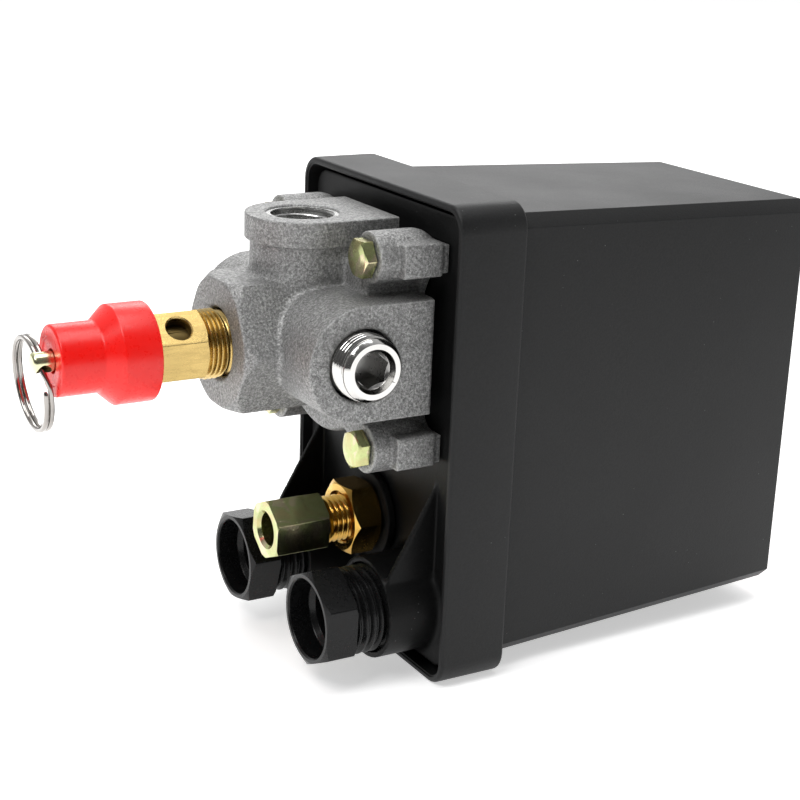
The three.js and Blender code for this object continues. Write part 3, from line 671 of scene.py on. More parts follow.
def field_obj(fn, lo, hi, h, name="field", polish=3):
    """Surface net of fn(x, y, z) < 0 on a grid of pitch h, each vertex then moved onto the true surface."""
    ax = [np.arange(lo[i], hi[i] + h, h) for i in range(3)]
    f = fn(ax[0][:, None, None], ax[1][None, :, None], ax[2][None, None, :])
    f = np.broadcast_to(f, tuple(len(a) for a in ax)).astype(float)
    s = f < 0
    n = [k - 1 for k in f.shape]
    cell = np.zeros(n, int)
    for dx in (0, 1):
        for dy in (0, 1):
            for dz in (0, 1):
                cell += s[dx:n[0] + dx, dy:n[1] + dy, dz:n[2] + dz]
    act = (cell > 0) & (cell < 8)
    ii = np.argwhere(act)
    idx = -np.ones(n, int)
    idx[act] = np.arange(len(ii))
    pos, cnt = np.zeros((len(ii), 3)), np.zeros(len(ii))
    for a in range(3):
        b, c = (a + 1) % 3, (a + 2) % 3
        for u in (0, 1):
            for v in (0, 1):
                o = np.zeros(3, int)
                o[b], o[c] = u, v
                p0 = ii + o
                p1 = p0.copy()
                p1[:, a] += 1
                f0, f1 = f[tuple(p0.T)], f[tuple(p1.T)]
                x = (f0 < 0) != (f1 < 0)
                t = np.where(x, f0 / np.where(x, f0 - f1, 1), 0)
                q = o.astype(float)[None, :].repeat(len(ii), 0)
                q[:, a] += t
                pos[x] += q[x]
                cnt[x] += 1
    V = (ii + pos / cnt[:, None]) * h + np.array(lo)
    F = []
    for a in range(3):
        b, c = (a + 1) % 3, (a + 2) % 3
        sl0, sl1 = [slice(None)] * 3, [slice(None)] * 3
        sl0[a], sl1[a] = slice(0, -1), slice(1, None)
        g0, g1 = s[tuple(sl0)], s[tuple(sl1)]
        e = np.argwhere(g0 != g1)
        e = e[(e[:, b] > 0) & (e[:, c] > 0)]
        inside = g0[tuple(e.T)]
        quad = []
        for u, v in ((-1, -1), (0, -1), (0, 0), (-1, 0)):
            q = e.copy()
            q[:, b] += u
            q[:, c] += v
            quad.append(idx[tuple(q.T)])
        quad = np.stack(quad, 1)
        quad[~inside] = quad[~inside][:, ::-1]
        F.append(quad)
    F = np.concatenate(F)
    for _ in range(polish):
        g = np.zeros_like(V)
        d = 0.02
        for a in range(3):
            o = np.zeros(3)
            o[a] = d
            g[:, a] = (fn(*(V + o).T) - fn(*(V - o).T)) / (2 * d)
        val = fn(*V.T)
        g2 = np.maximum((g * g).sum(1), 0.05)
        step = np.clip(val / g2, -0.4 * h, 0.4 * h)
        V = V - g * step[:, None]
    return make_obj(V, F.tolist(), name)


def rrect(hy, hz, r, n=7):
    pts = []
    for cy, cz, a0 in ((hy - r, hz - r, 0), (-(hy - r), hz - r, 90), (-(hy - r), -(hz - r), 180), (hy - r, -(hz - r), 270)):
        for i in range(n + 1):
            a = math.radians(a0 + 90 * i / n)
            pts.append((cy + r * math.cos(a), cz + r * math.sin(a)))
    return pts


def octo(hy, hz, k, e=0.3):
    c = [(hy, hz - k), (hy - k, hz), (-(hy - k), hz), (-hy, hz - k), (-hy, -(hz - k)), (-(hy - k), -hz), (hy - k, -hz), (hy, -(hz - k))]
    pts = []
    for i in range(8):
        pts += fillet([(*c[i - 1], 0), (*c[i], e), (*c[(i + 1) % 8], 0)], 3)[1:-1]
    return pts


def loft(sections):
    n = len(sections[0][1])
    V = [(x, p[0], p[1]) for x, pts in sections for p in pts]
    F = grid_faces(len(sections), n)
    F += [tuple(range(n)), tuple(range((len(sections) - 1) * n, len(sections) * n))]
    return make_obj(V, F)


def arc(n=5):
    return [math.pi / 2 * i / n for i in range(n + 1)]


# ---- cover --------------------------------------------------------------------------------------------------------------
HY, HZ, DEEP, RAD = 32.31, 49.0, 14.83, 5.23
e = 0.7
secs = [(e * (1 - math.cos(t)), rrect(HY - e * (1 - math.sin(t)), HZ - e * (1 - math.sin(t)), RAD - e * (1 - math.sin(t)))) for t in arc()]
secs += [(DEEP - e + e * math.sin(t), rrect(HY - e * (1 - math.cos(t)), HZ - e * (1 - math.cos(t)), RAD - e * (1 - math.cos(t)))) for t in arc()]
cover = loft(secs)


def shell(x, w=0.0, k=2.53, inset=0.0, e=0.3):
    t = (x - 13.83) / (90.8 - 13.83)
    return octo(29.11 + (26.39 - 29.11) * t - w - inset, 46.24 + (43.83 - 46.24) * t - w - inset, k - inset * 0.58, e)


e = 0.55
add(cover, loft([(13.2, shell(13.2))] + [(x, shell(x)) for x in (30, 50, 70)] + [(90.8 - e + e * math.sin(t), shell(90.8, inset=e * (1 - math.cos(t)))) for t in arc()]))
w, ri = 1.5, 0.35
rec = [(-1, w - ri), (0, w - ri)] + [(ri * math.sin(t), w - ri * math.cos(t)) for t in arc(4)][1:] + [(12.83, w)]
sub(cover, loft([(x, rrect(HY - q, HZ - q, max(RAD - q, 1))) for x, q in rec]), loft([(x, shell(x, 2.0, 1.93)) for x in (11.0, 88.4)] + [(88.8, shell(88.8, 2.4, 1.93))]))
POSTS = [(20, 28), (-20, -6.5)]
for at, r in [((0, -16), 7.9)] + [(p, 1.9) for p in POSTS]:
    sub(cover, lathe([(80, 0), (80, r), (90.55, r), (91.0, r + 0.45), (95, r + 0.45), (95, 0)], "x", at, 64 if r > 5 else 40))
done(cover, "cover", "cover", "cover", angle=28)

for i, (y, z) in enumerate(POSTS):
    s = lathe([(90.95, 0), (90.95, 3.4, 0.12), (92.3, 3.4, 0.5), (93.4, 2.2, 0.5), (93.4, 0)], "x", (y, z), 56)
    sub(s, box(92.4, 94, y - 0.42, y + 0.42, z - 5, z + 5))
    t = thread("x", 1.5, 1.2, 0.6, 78, 91.2, (y, z), 28)
    done(joined([s, t]), f"cover_screw_{i + 1}", "zinc", f"cover_screw_{i + 1}", 30, 0.07)

# ---- knob ---------------------------------------------------------------------------------------------------------------
pr = [(80.5, 0), (80.5, 6.5, 0.3), (86.5, 6.5), (86.5, 9, 0.2), (88.3, 9, 0.4), (88.3, 7.5, 0.3)]
for g in (90.6, 92.6, 94.6):
    pr += [(g, 7.5, 0.15), (g + 0.25, 7.1, 0.15), (g + 0.75, 7.1, 0.15), (g + 1.0, 7.5, 0.15)]
pr += [(99.5, 7.5, 1.5), (99.5, 5.2, 0.4), (99.0, 4.6, 0.4), (98.9, 0)]
done(lathe(pr, "x", (0, -16), 96, n=5), "onoff_knob", "red", "onoff_knob", 35)
done(lathe([(54, 0), (54, 2, 0.5), (80.2, 2, 0.1), (80.2, 0)], "x", (0, -16), 40), "knob_rod", "zinc", "knob_rod")

# ---- base plate ----------------------------------------------------------------------------------------------------------
GY, GZ = 17.4, -34.8


def plate_field(x, y, z):
    d = ext(rect2(y, z, -29.7, 29.7, -46.4, 46.4, 4.0), x, 2, 5, 0.35)
    ay = np.abs(y)
    r = np.hypot(ay - GY, z - GZ)
    d = smin(d, ext(r - 10.4, x, -9.6, 10.5, 0.3), 1.6)
    # thin web whose sloping edge runs from the plate up to the socket's mouth
    slope = (x - 2.5) * -0.8675 + (z + 7.0) * 0.4975
    rib = ext(np.maximum(np.maximum(slope, x - 3), np.maximum(-30 - z, -9.2 - x)), ay, 23.7, 24.75, 0.2)
    d = smin(d, rib, 0.5)
    d = smax(d, -ext(r - 9.3, x, -12, 9), 0.25)
    d = np.maximum(d, -ext(r - 7.0, x, 8, 12))
    for yy, zz, rr in ((0, 19, 5.2), (0, -22, 5.3)):
        d = np.maximum(d, -ext(np.hypot(y - yy, z - zz) - rr, x, 0, 8))
    for zz in (38.1, 0.15):
        d = np.maximum(d, -ext(np.hypot(ay - 19, z - zz) - 2.3, x, 0, 8))
    return d


done(field_obj(plate_field, (-10.4, -30.4, -47.2), (11.2, 30.4, 47.2), 0.4), "base_plate", "plate", "base_plate", 40)

# ---- cable glands ---------------------------------------------------------------------------------------------------------
for s, side in ((-1, "near"), (1, "far")):
    at = (s * GY, GZ)
    head = prism(hexpoly(18, *at, 27 if s < 0 else 12, 0.45), -22.9, -16.1)
    boolean(head, lathe([(-22.9, 0), (-22.9, 9.0, 0.12), (-22.15, 10.45, 0.3), (-16.6, 10.45, 0.2), (-16.1, 9.8, 0.1), (-16.1, 0)], "x", at, 120), "INTERSECT")
    sub(head, lathe([(-24, 0), (-24, 8.3), (-22.9, 8.3), (-22.55, 8.0, 0.2), (-18.2, 8.0, 0.5), (-17.2, 7, 0.2), (-14, 7), (-14, 0)], "x", at, 120))
    sh = thread("x", 8.9, 8.05, 1.75, -15.4, 1, at, 96, inner=7.0, sharp=0.55, runout=0.5)
    neck = tube("x", 7.0, 8.0, -16.4, -15.1, at, 96, 0.05)
    done(joined([head, sh, neck]), "gland_screw_" + side, "gland", "gland_screw_" + side, 30, 0.18, 3)
    done(tube("x", 6.6, 8.9, 1.3, 2.1, at, 64, 0.15), "gland_washer_" + side, "zinc", "gland_washer_" + side)
    done(lathe(fillet([(5, 5.6), (2.4, 5.6, 0.4), (2.4, 9, 0.5), (5.4, 9, 0.2), (5.55, 8.75, 0.2), (5.7, 9, 0.2), (8.7, 9, 0.5), (8.7, 5.6, 0.4), (5, 5.6)])[:-1], "x", at, 64, closed=True), "gland_seal_" + side, "rubber", "gland_seal_" + side)

# ---- cast manifold ----------------------------------------------------------------------------------------------------------
MZ = 19.0


def dee(x, q, cx, r, right):
    return np.maximum(np.where(x < cx, np.hypot(x - cx, q) - r, np.abs(q) - r), x - right)


def manifold_field(x, y, z):
    ay = np.abs(y)
    rr = np.hypot(y, z - MZ)
    # hexagonal barrel turned at its front corners
    bar = ext(hex2(y, z - MZ, 26, 0, 0.5), x, -34.8, -4, 0.35)
    bar = smax(bar, (rr - 12.85 - 0.81 * (x + 34.8)) / 1.287, 0.3)
    # diaphragm chamber
    ch = ext(rr - 20.4, x, -12, 1.7, 1.3)
    d = smin(bar, ch, 2.2)
    # top port
    d = smin(d, ext(dee(x, y, -16.6, 10.25, -1.1), z, 24, 40, 0.2), 1.6)
    top = ext(dee(x, y, -16.6, 11.3, -1.1), z, 38.5, 43.6, 0.3)
    # side ports, slightly drafted
    k = 1 + (11.8 / 11.5 - 1) * np.clip((25.5 - ay) / 15.5, 0, 1.0)
    side = ext(dee(x, z - MZ, -16, 11.5 * k, -1), ay, 8, 25.5, 0.3)
    d = smin(d, side, 1.0)
    # lugs with their ears, and the arms that carry them
    for zz in (38.1, 0.15):
        r = np.hypot(ay - 19, z - zz)
        lug = ext(r - 5, x, -12.2, 1.7, 0.35)
        lug = smax(lug, (r - 5 + 0.75 * (x + 1.3)) / 1.25, 1.2)
        flat = rect2(ay, z, 15, 25.9, zz - 3.3, zz + 3.3, 0.6)
        ear = np.minimum(ext(flat, x, -8.2, 0.2, 0.3), ext(flat + 0.5, x, -4, 1.7, 0.25))
        L = math.hypot(19, zz - MZ)
        u = (ay * 19 + (z - MZ) * (zz - MZ)) / L
        v = (z - MZ) * 19 / L - ay * (zz - MZ) / L
        arm = ext(np.maximum(np.abs(v) - 3.6 - 0.26 * np.clip(24 - u, 0, 12), np.maximum(8 - u, u - L)), x, -12, 1.7, 0.5)
        d = smin(d, arm, 1.2)
        d = smin(d, smin(lug, ear, 0.45), 0.7)
    d = smin(d, top, 0.5)
    # seat of the chamber against the plate is machined flat
    d = np.maximum(d, x - 1.7)
    # bores, with their mouths eased
    b = np.minimum(ext(rr - 6.87, x, -40, -24), ext(rr - 4, x, -30, -2))
    b = np.minimum(b, (rr - 6.87 - (-34.1 - x)) / 1.414)
    rt = np.hypot(x + 16.6, y)
    b = np.minimum(b, np.minimum(ext(rt - 7.1, z, 31, 50), ext(rt - 4, z, MZ, 33)))
    b = np.minimum(b, (rt - 7.0 - (z - 43.2)) / 1.414)
    rs = np.hypot(x + 16, z - MZ)
    b = np.minimum(b, np.minimum(ext(rs - 7.1, ay, 13.5, 40), ext(rs - 4, ay, -1, 15)))
    b = np.minimum(b, (rs - 7.0 - (ay - 25.05)) / 1.414)
    b = np.minimum(b, ext(rr - 17, x, -3, 4))
    for zz in (38.1, 0.15):
        b = np.minimum(b, ext(np.hypot(ay - 19, z - zz) - 2.3, x, -16, 5))
    return smax(d, -b, 0.12)


done(field_obj(manifold_field, (-35.6, -26.7, -6.2), (2.4, 26.7, 44.4), 0.36), "manifold", "cast", "manifold", 45)
lin = [thread("z", 6.95, 6.28, 1.337, 32, 43.2, (-16.6, 0), 96, inner=7.25, sharp=0.25, runout=0.35),
       thread("y", 6.95, 6.28, 1.337, 14.2, 25.1, (-16, MZ), 96, inner=7.25, sharp=0.25, runout=0.35)]
done(joined(lin), "manifold_port_threads", "machined", "manifold", 50, body="base")

# ---- plug -------------------------------------------------------------------------------------------------------------------
plug = lathe([(-29.8, 0), (-29.8, 5.4, 0.12), (-28.95, 6.2, 0.2), (-28.3, 6.2), (-28.1, 5.9), (-16.3, 5.9), (-16.3, 0)], "y", (-16, MZ), 96)
th = thread("y", 6.5, 6.02, 0.95, -28.6, -16, (-16, MZ), 96, inner=5.5, sharp=0.3, runout=0.6)
R = 6.35 / math.sqrt(3)
hexs = [(-16 + R * math.cos(math.radians(60 * k + 18)), MZ + R * math.sin(math.radians(60 * k + 18))) for k in range(6)]
sub(plug, lathe([(-31, 0), (-31, 4.55), (-29.75, 4.35, 0.1), (-28.55, 3.75, 0.3), (-28.1, 3.3), (-28.1, 0)], "y", (-16, MZ), 96), prism(hexs, -31, -23.6, "xz"))
done(joined([plug, th]), "port_plug", "plug", "port_plug", 32, 0.06)

# ---- flange bolts --------------------------------------------------------------------------------------------------------------
for i, (s, z) in enumerate(((-1, 38.1), (-1, 0.15), (1, 38.1), (1, 0.15))):
    at = (s * 19, z)
    hd = prism(hexpoly(7, *at, (0, 24, 5, 40)[i], 0.12), -15, -12.5)
    boolean(hd, lathe([(-15.0, 0), (-14.94, 1.9, 0.5), (-14.75, 3.3, 0.35), (-14.25, 4.3), (-12.5, 4.3), (-12.5, 0)], "x", at, 96), "INTERSECT")
    sh = thread("x", 2.0, 1.68, 0.7, -2, 9, at, 36)
    sk = lathe([(-12.7, 0), (-12.7, 1.95), (-1.8, 1.95, 0.2), (-1.8, 0)], "x", at, 36)
    done(joined([hd, sk, sh]), f"flange_bolt_{i + 1}", "zinc_yellow", f"flange_bolt_{i + 1}", 30, 0.09)

# ---- safety valve -----------------------------------------------------------------------------------------------------------------
at = (0, MZ)
hx = hexbar(13, -49.2, -38.9, *at, 19, 0, 1, ease=0.14, cone=32)
add(hx, lathe([(-57, 0), (-57, 5.6, 0.3), (-49, 5.6), (-49, 0)], "x", at, 72))
a = math.radians(49)
ny, nz = -math.cos(a), math.sin(a)
n = 40
ring0 = [(math.cos(2 * math.pi * k / n), math.sin(2 * math.pi * k / n)) for k in range(n)]


def radial_cut(r0, r1, h0, h1):
    V = []
    for r, h in ((r0, h0), (r1, h1)):
        for c, s_ in ring0:
            V.append((-44.3 + r * c, ny * h + r * s_ * nz, MZ + nz * h - r * s_ * ny))
    F = grid_faces(2, n) + [tuple(range(n)), tuple(range(n, 2 * n))]
    return make_obj(V, F)


sub(hx, radial_cut(2.5, 2.5, 2.0, 9), radial_cut(2.2, 3.0, 5.95, 6.75))
sub(hx, lathe([(-58, 0), (-58, 4.5), (-38.2, 4.5), (-38.2, 0)], "x", at, 72), lathe([(-39, 0), (-39, 2), (-30, 2), (-30, 0)], "x", at, 48))
stub = thread("x", 6.85, 6.1, 0.95, -39.2, -35.0, at, 96, inner=2.0, sharp=0.35, runout=0.5)
stub2 = thread("x", 6.5, 5.95, 1.337, -35.1, -26, at, 72, inner=2.0)
done(joined([hx, stub, stub2]), "sv_body", "brass", "sv_body", 30, 0.07)
done(lathe([(-40.7, 0), (-40.7, 4, 0.3), (-38.5, 4, 0.6), (-38.5, 0)], "x", at, 48), "sv_poppet", "brass", "sv_poppet")
sp = sweep(coil_path("x", 3.15, -54.2, -41, 6, at, 0.44), 0.44, 12)
done(sp, "sv_spring", "steel", "sv_spring", 60)
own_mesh(sp)
ad = tube("x", 2.4, 4.2, -56.8, -54.5, at, 48, 0.2)
sub(ad, box(-57, -56.2, -5, 5, MZ - 0.4, MZ + 0.4))
done(ad, "sv_adjuster", "brass", "sv_adjuster", 30)
cap = lathe([(-49.5, 0), (-49.5, 9.6, 0.28), (-56.7, 9.6, 0.5), (-59.75, 6.85, 0.9), (-68.1, 6.85, 0.55), (-68.1, 0)], "x", at, 144, n=6)
sub(cap, lathe([(-58.5, 0), (-58.5, 6), (-49, 6), (-49, 0)], "x", at, 96), lathe([(-69, 0), (-69, 2.7), (-68.1, 2.7), (-67.8, 2.4), (-58, 2.4), (-58, 0)], "x", at, 64))
# shallow moulded sink round the stem's hole
sub(cap, lathe([(-69, 0), (-69, 4.9), (-68.1, 4.9), (-67.85, 4.65, 0.1), (-67.85, 0)], "x", at, 96))
done(cap, "sv_cap", "red", "sv_cap", 34)

RH = 9.0
lean, tilt = math.radians(5), math.radians(42)
hv, vv = np.array([0.0, 1.0, 0.0]), np.array([-math.sin(lean), 0, math.cos(lean)])
dv = hv * math.cos(tilt) - vv * math.sin(tilt)
tv = hv * math.sin(tilt) + vv * math.cos(tilt)
nv = np.cross(dv, tv)
stem = lathe([(-71.8, 0), (-71.8, 2, 0.75), (-41, 2, 0.2), (-41, 0)], "x", at, 64, n=6)
hp = np.array([-69.9, 0, MZ])
V = []
for q in (-4, 4):
    for c, s_ in ring0:
        V.append(hp + nv * q + 1.45 * (c * tv + s_ * np.cross(nv, tv)))
# the cross hole runs along the ring's own line through the stem
V = []
ax_ = tv * 0 + np.cross(nv, dv)
for q in (-4, 4):
    for c, s_ in ring0:
        V.append(hp + ax_ * q + 1.42 * (c * nv + s_ * dv))
sub(stem, make_obj(np.array(V), grid_faces(2, n) + [tuple(range(n)), tuple(range(n, 2 * n))]))
done(stem, "sv_stem", "zinc_pale", "sv_stem", 32, 0.06)

# split ring: two turns of flattened wire, crossing over where its ends are
cen = hp + dv * RH
path, prof = [], []
lead = math.radians(16)
N = 260
off = 0.5
start = math.radians(200)
for i in range(N + 1):
    t = lead + (4 * math.pi - 2 * lead) * i / N
    u = np.clip((t - (2 * math.pi - lead)) / (2 * lead), 0, 1)
    o = -off + 2 * off * (u * u * (3 - 2 * u))
    path.append(cen + RH * (math.cos(t + start) * dv + math.sin(t + start) * tv) + nv * o)
path = np.array(path)
rx, ry = 0.48, 0.47
sides = 16
V = []
for i, p in enumerate(path):
    rad = p - cen
    rad -= nv * (rad @ nv)
    rad /= np.linalg.norm(rad)
    q = min(i, N - i)
    k = (0.6, 0.9, 1.0)[min(q, 2)]
    for s_ in range(sides):
        b = 2 * math.pi * s_ / sides
        c, d_ = math.cos(b), math.sin(b)
        sq = (abs(c) ** 3.2 + abs(d_) ** 3.2) ** (-1 / 3.2)
        V.append(p + k * sq * (rx * c * rad + ry * d_ * nv))
rg = make_obj(np.array(V), grid_faces(N + 1, sides) + [tuple(range(sides)), tuple(range(N * sides, (N + 1) * sides))])
done(rg, "sv_ring", "ring", "sv_ring", 50)

# ---- unloader ------------------------------------------------------------------------------------------------------------------------
at = (0, -22)
cp = hexbar(11.4, -23.7, -11.7, *at, 24, 1, 1, ease=0.14, cone=40, inner=6.1, bore=[(-26, 0), (-26, 4.15), (-23.7, 4.05, 0.08), (-23.0, 3.4, 0.1), (-14, 3.4), (-14, 2.0), (-11, 2.0), (-11, 0)])
done(cp, "unloader_coupling", "zinc_yellow", "unloader_coupling", 30, 0.09)
nt = hexbar(14.2, -6.6, -0.3, *at, 2, 1, 1, ease=0.14, cone=32, bore=[(-9, 0), (-9, 5.8), (-6.6, 5.65), (-6.1, 5.1), (-0.8, 5.1), (-0.3, 5.5), (2, 5.6), (2, 0)])
done(nt, "unloader_nut", "gold", "unloader_nut", 30, 0.09)
wa = lathe(fillet([(0.8, 5.2), (0, 5.2, 0.15), (0, 9.4, 0.35), (1.7, 9.4, 0.35), (1.7, 5.2, 0.15), (0.8, 5.2)])[:-1], "x", at, 96, closed=True)
done(wa, "unloader_washer", "rubber", "unloader_washer")
ub = thread("x", 4.9, 4.25, 1.15, -11.4, 5.6, at, 80, inner=1.9, sharp=0.3, runout=0.6)
uh = hexbar(13, 5.3, 7.7, *at, 0, 0, 1, bore=[(5, 0), (5, 3.2), (6.2, 3.2), (6.2, 1.7), (9, 1.7), (9, 0)])
done(joined([ub, uh]), "unloader_body", "gold", "unloader_body", 30)
done(lathe([(-1, 0), (-1, 1.35, 0.3), (1.5, 1.35), (1.5, 2.9, 0.2), (2.8, 2.9, 0.2), (2.8, 1.35), (9.3, 1.35, 0.1), (9.7, 0.9, 0.2), (9.7, 0)], "x", at, 40), "unloader_pin", "zinc", "unloader_pin")
us = sweep(coil_path("x", 2.3, -4.9, 1.2, 4.6, at, 0.33), 0.33, 10)
done(us, "unloader_spring", "steel", "unloader_spring", 60, stretch=("base", "unloader_pin", P(-4.5, 0, -22), P(0.8, 0, -22)))


# ---- diaphragm and piston ---------------------------------------------------------------------------------------------------------------
done(lathe([(-2.5, 0), (-2.5, 11), (-2.1, 12.6, 0.4), (-2.5, 14.2, 0.4), (-2.5, 16.5, 0.15), (-1.3, 16.5, 0.15), (-1.3, 0)], "x", (0, MZ), 72), "diaphragm", "rubber", "diaphragm")
done(lathe([(-1, 0), (-1, 12, 0.3), (0.6, 12, 0.3), (1.0, 4, 0.5), (9.2, 4, 0.1), (9.7, 3.4, 0.2), (9.7, 0)], "x", (0, MZ), 72), "piston", "zinc", "piston")

# ---- frame, lever and springs -------------------------------------------------------------------------------------------------------------
fr = box(5.3, 6.8, -24, 24, -10.5, 44)
for s in (-1, 1):
    pl = prism([(5.6, 14), (5.6, 43), (17.5, 43), (20, 40.5), (20, 30), (9, 14)], *((13, 14.5) if s > 0 else (-14.5, -13)), "xz")
    add(fr, pl)
for r, (y, z) in [(5.2, (0, MZ)), (3.3, (0, 8)), (2, (0, -7))] + [(2.3, (y, z)) for y in (-19, 19) for z in (38.1, 0.15)] + [(1.8, (s * 20.5, 19)) for s in (-1, 1)]:
    sub(fr, rod("x", r, 4, 8, (y, z), 40))
sub(fr, rod("y", 1.8, -16, 16, (15.5, 37), 40))
done(fr, "frame_bracket", "zinc", "frame_bracket", 30, 0.18)
for i, s in ((1, -1), (2, 1)):
    gs = lathe([(7.1, 0), (7.1, 3.2, 0.1), (8.4, 3.2, 0.5), (9.4, 2.0, 0.5), (9.4, 0)], "x", (s * 20.5, 19), 48)
    sub(gs, box(8.5, 10, s * 20.5 - 4, s * 20.5 + 4, 18.6, 19.4))
    done(joined([gs, thread("x", 1.5, 1.2, 0.5, 5.4, 7.3, (s * 20.5, 19), 28)]), f"ground_screw_{i}", "green", f"ground_screw_{i}", 30, 0.06)

lv = box(10, 11.8, -11.5, 11.5, -12, 41)
add(lv, prism([(-11.2, -12.2), (11.2, -12.2), (4.5, -16), (4.5, -26), (-4.5, -26), (-4.5, -16)], 10, 11.8))
for s in (-1, 1):
    add(lv, prism([(10.2, 32.5), (10.2, 41), (17.5, 41), (19, 39.5), (19, 34), (17.5, 32.5)], *((10, 11.5) if s > 0 else (-11.5, -10)), "xz"))
for r, z in ((4.3, 8), (2.8, -7)):
    sub(lv, rod("x", r, 8, 14, (0, z), 40))
sub(lv, rod("y", 1.8, -16, 16, (15.5, 37), 40))
done(lv, "main_lever", "zinc", "main_lever", 30, 0.16)
done(lathe([(-16.4, 0), (-16.4, 2.8, 0.5), (-15, 2.8, 0.1), (-15, 1.5), (15.6, 1.5, 0.1), (16, 1.1, 0.1), (16, 0)], "y", (15.5, 37), 40), "lever_pin", "zinc", "lever_pin")

done(thread("x", 3.0, 2.55, 1.0, 5.4, 60, (0, 8), 48), "range_stud", "zinc", "range_stud", 40)
cp_ = coil_path("x", 6.4, 12.1, 46, 6.6, (0, 8), 0.98, per=36)
half = len(cp_) // 2
for nm, pts, joint, keep in (("range_spring_lever_half", cp_[:half + 1], "piston_lift", 0.924), ("range_spring_seat_half", cp_[half:], "range_set", 0.647)):
    ob = sweep(pts, 0.98, 16)
    done(ob, nm, "steel", "range_spring", 60)
    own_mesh(ob)
done(tube("x", 3.4, 7.4, 46.3, 48.2, (0, 8), 56, 0.3), "range_seat", "zinc", "range_seat")
done(hexbar(10, 48.6, 54.4, 0, 8, 15, 1, 1, bore=[(45, 0), (45, 3.9), (48.6, 3.8), (49.2, 3.15), (53.8, 3.15), (54.4, 3.8), (58, 3.9), (58, 0)]), "range_nut", "zinc", "range_nut", 30, 0.07)

ds = lathe([(29.4, 0), (29.4, 3.8, 0.15), (31.6, 3.8, 0.6), (32.2, 2.6, 0.3), (32.2, 0)], "x", (0, -7), 48)
sub(ds, box(31.2, 33, -0.5, 0.5, -12, -2))
done(joined([ds, thread("x", 1.7, 1.4, 0.7, 5.4, 29.6, (0, -7), 32)]), "diff_screw", "zinc", "diff_screw", 30, 0.06)
df = sweep(coil_path("x", 2.9, 12.1, 29.3, 7, (0, -7), 0.48, per=28), 0.48, 12)
done(df, "diff_spring", "steel", "diff_spring", 60)
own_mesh(df)

for i, (y, z) in enumerate(POSTS):
    done(hexbar(5.5, 7.1, 88.4, y, z, 0, 1, 1, bore=[(76, 0), (76, 1.8), (87.8, 1.8), (88.4, 2.2), (90, 2.2), (90, 0)]), f"cover_post_{i + 1}", "zinc", f"cover_post_{i + 1}", 30, 0.06)

# ---- contact block ---------------------------------------------------------------------------------------------------------------------------
cb = box(24, 38, -23, 23, -41, -21)
for s in (-1, 1):
    add(cb, box(24, 38, *((8, 23) if s > 0 else (-23, -8)), -22, -12), box(5.3, 25, *((19, 23) if s > 0 else (-23, -19)), -23.5, -19.5))
sub(cb, box(36, 39, -0.9, 0.9, -42, -20.5))
for y in (-15, 15):
    sub(cb, box(36.8, 39, y - 0.6, y + 0.6, -42, -11))
for y in (-18.4, -11.6, 11.6, 18.4):
    sub(cb, rod("x", 1.8, 27, 40, (y, -33), 32))
done(cb, "contact_block", "bakelite", "contact_block", 30, 0.35, 3)
for i, y in enumerate((-18.4, -11.6, 11.6, 18.4)):
    tp = box(38.3, 39.3, y - 2.9, y + 2.9, -38, -13)
    sub(tp, rod("x", 1.8, 37, 41, (y, -33), 32))
    done(tp, f"terminal_plate_{i + 1}", "copper", f"terminal_plate_{i + 1}", 30, 0.14)
    tc = lathe([(39.0, 0), (39.0, 1.5), (39.75, 1.5, 0.4), (39.9, 0)], "x", (y, -16), 32)
    done(tc, f"terminal_contact_{i + 1}", "nickel", f"terminal_plate_{i + 1}", 40)
    ts = lathe([(39.45, 0), (39.45, 2.9, 0.1), (41, 2.9, 0.4), (42, 1.9, 0.4), (42, 0)], "x", (y, -33), 48)
    sub(ts, box(41, 43, y - 0.4, y + 0.4, -38, -28))
    done(joined([ts, thread("x", 1.4, 1.15, 0.6, 29, 39.7, (y, -33), 28)]), f"terminal_screw_{i + 1}", "zinc", f"terminal_screw_{i + 1}", 30, 0.06)
cc = box(12.2, 42, -4, 4, -19, -13)
add(cc, box(41.6, 44, -21, 21, -19, -13))
done(cc, "contact_carrier", "bakelite", "contact_carrier", 30, 0.3, 3)
for i, s in ((1, -1), (2, 1)):
    br = box(40.7, 41.3, *((9.6, 20.4) if s > 0 else (-20.4, -9.6)), -18, -14)
    br = joined([br] + [lathe([(40.9, 0), (40.9, 1.5), (40.35, 1.5, 0.3), (40.2, 0)], "x", (s * q, -16), 32) for q in (11.6, 18.4)])
    done(br, f"contact_bridge_{i}", "copper", f"contact_bridge_{i}", 30, 0.1)

# ----------------------------------------------------------------------------------------------------------------------
# Studio
# ----------------------------------------------------------------------------------------------------------------------
floor = bpy.data.objects.new("floor", bpy.data.meshes.new("floor"))
floor.data.from_pydata([(-40, -40, 0), (40, -40, 0), (40, 40, 0), (-40, 40, 0)], [], [(0, 1, 2, 3)])
bpy.context.scene.collection.objects.link(floor)
fm = bpy.data.materials.new("floor")
fm.use_nodes = True
fb = fm.node_tree.nodes["Principled BSDF"]
fb.inputs["Base Color"].default_value = (0.93, 0.93, 0.93, 1)
fb.inputs["Roughness"].default_value = 0.85
fb.inputs["Specular IOR Level"].default_value = 0.2
fb.inputs["Emission Color"].default_value = (1, 1, 1, 1)
fb.inputs["Emission Strength"].default_value = 0.5
floor.data.materials.append(fm)

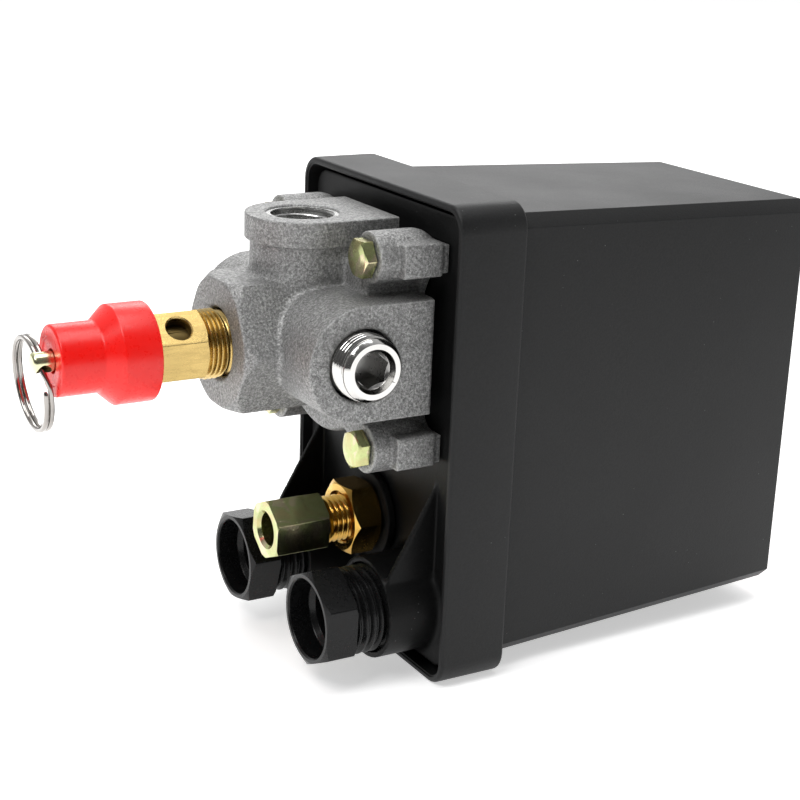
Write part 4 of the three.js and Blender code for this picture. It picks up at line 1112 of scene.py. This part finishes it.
world = bpy.data.worlds.new("studio")
bpy.context.scene.world = world
world.use_nodes = True
wt = world.node_tree
wt.nodes.clear()
wo, bg = wt.nodes.new("ShaderNodeOutputWorld"), wt.nodes.new("ShaderNodeBackground")
tc, vm = wt.nodes.new("ShaderNodeTexCoord"), wt.nodes.new("ShaderNodeVectorMath")
vm.operation = "DOT_PRODUCT"
vm.inputs[1].default_value = (0.45, 0.75, 0.48)
rp = wt.nodes.new("ShaderNodeValToRGB")
mp = wt.nodes.new("ShaderNodeMapRange")
mp.inputs[1].default_value, mp.inputs[2].default_value = -1.0, 1.0
for el, (p, c) in zip([rp.color_ramp.elements[0], rp.color_ramp.elements[1], rp.color_ramp.elements.new(0.5)], [(0.0, 0.05), (1.0, 0.40), (0.5, 0.16)]):
    el.position, el.color = p, (c, c, c, 1)
wt.links.new(tc.outputs["Generated"], vm.inputs[0])
wt.links.new(vm.outputs["Value"], mp.inputs[0])
wt.links.new(mp.outputs[0], rp.inputs[0])
wt.links.new(rp.outputs[0], bg.inputs[0])
wt.links.new(bg.outputs[0], wo.inputs[0])
bg.inputs[1].default_value = 1.0


def area(name, loc, target, size, power, shape="RECTANGLE", size_y=None):
    l = bpy.data.lights.new(name, "AREA")
    l.shape, l.size, l.size_y, l.energy = shape, size, size_y or size, power
    o = bpy.data.objects.new(name, l)
    o.location = loc
    o.rotation_euler = (Vector(target) - Vector(loc)).to_track_quat("-Z", "Y").to_euler()
    bpy.context.scene.collection.objects.link(o)
    return o


area("key", (-0.62, -0.22, 0.90), (0, 0, 0.04), 0.55, 5.0, size_y=0.45)
area("back", (0.35, 0.75, 0.55), (0, 0, 0.05), 0.8, 2.2, size_y=0.35)
area("fill", (0.6, -0.7, 0.35), (0, 0, 0.05), 0.4, 0.3)
area("top", (0.0, 0.0, 1.1), (0, 0, 0), 0.7, 5.0)

cam = bpy.data.cameras.new("camera")
cam.sensor_fit, cam.sensor_width, cam.lens = "HORIZONTAL", 36.0, 75.813
cam.clip_start = 0.01
co = bpy.data.objects.new("camera", cam)
right, up, back = (0.86602844, -0.49864455, 0.03672), (0.1205133, 0.27944999, 0.95256719), (-0.48525384, -0.82052502, 0.30210494)
m = Matrix.Identity(4)
for r in range(3):
    m[r][0], m[r][1], m[r][2], m[r][3] = right[r], up[r], back[r], (-0.177784, -0.289240, 0.157466)[r]
co.matrix_world = m
bpy.context.scene.collection.objects.link(co)
bpy.context.scene.camera = co
bpy.context.scene.view_settings.view_transform = "Standard"
bpy.context.scene.view_settings.look = "None"
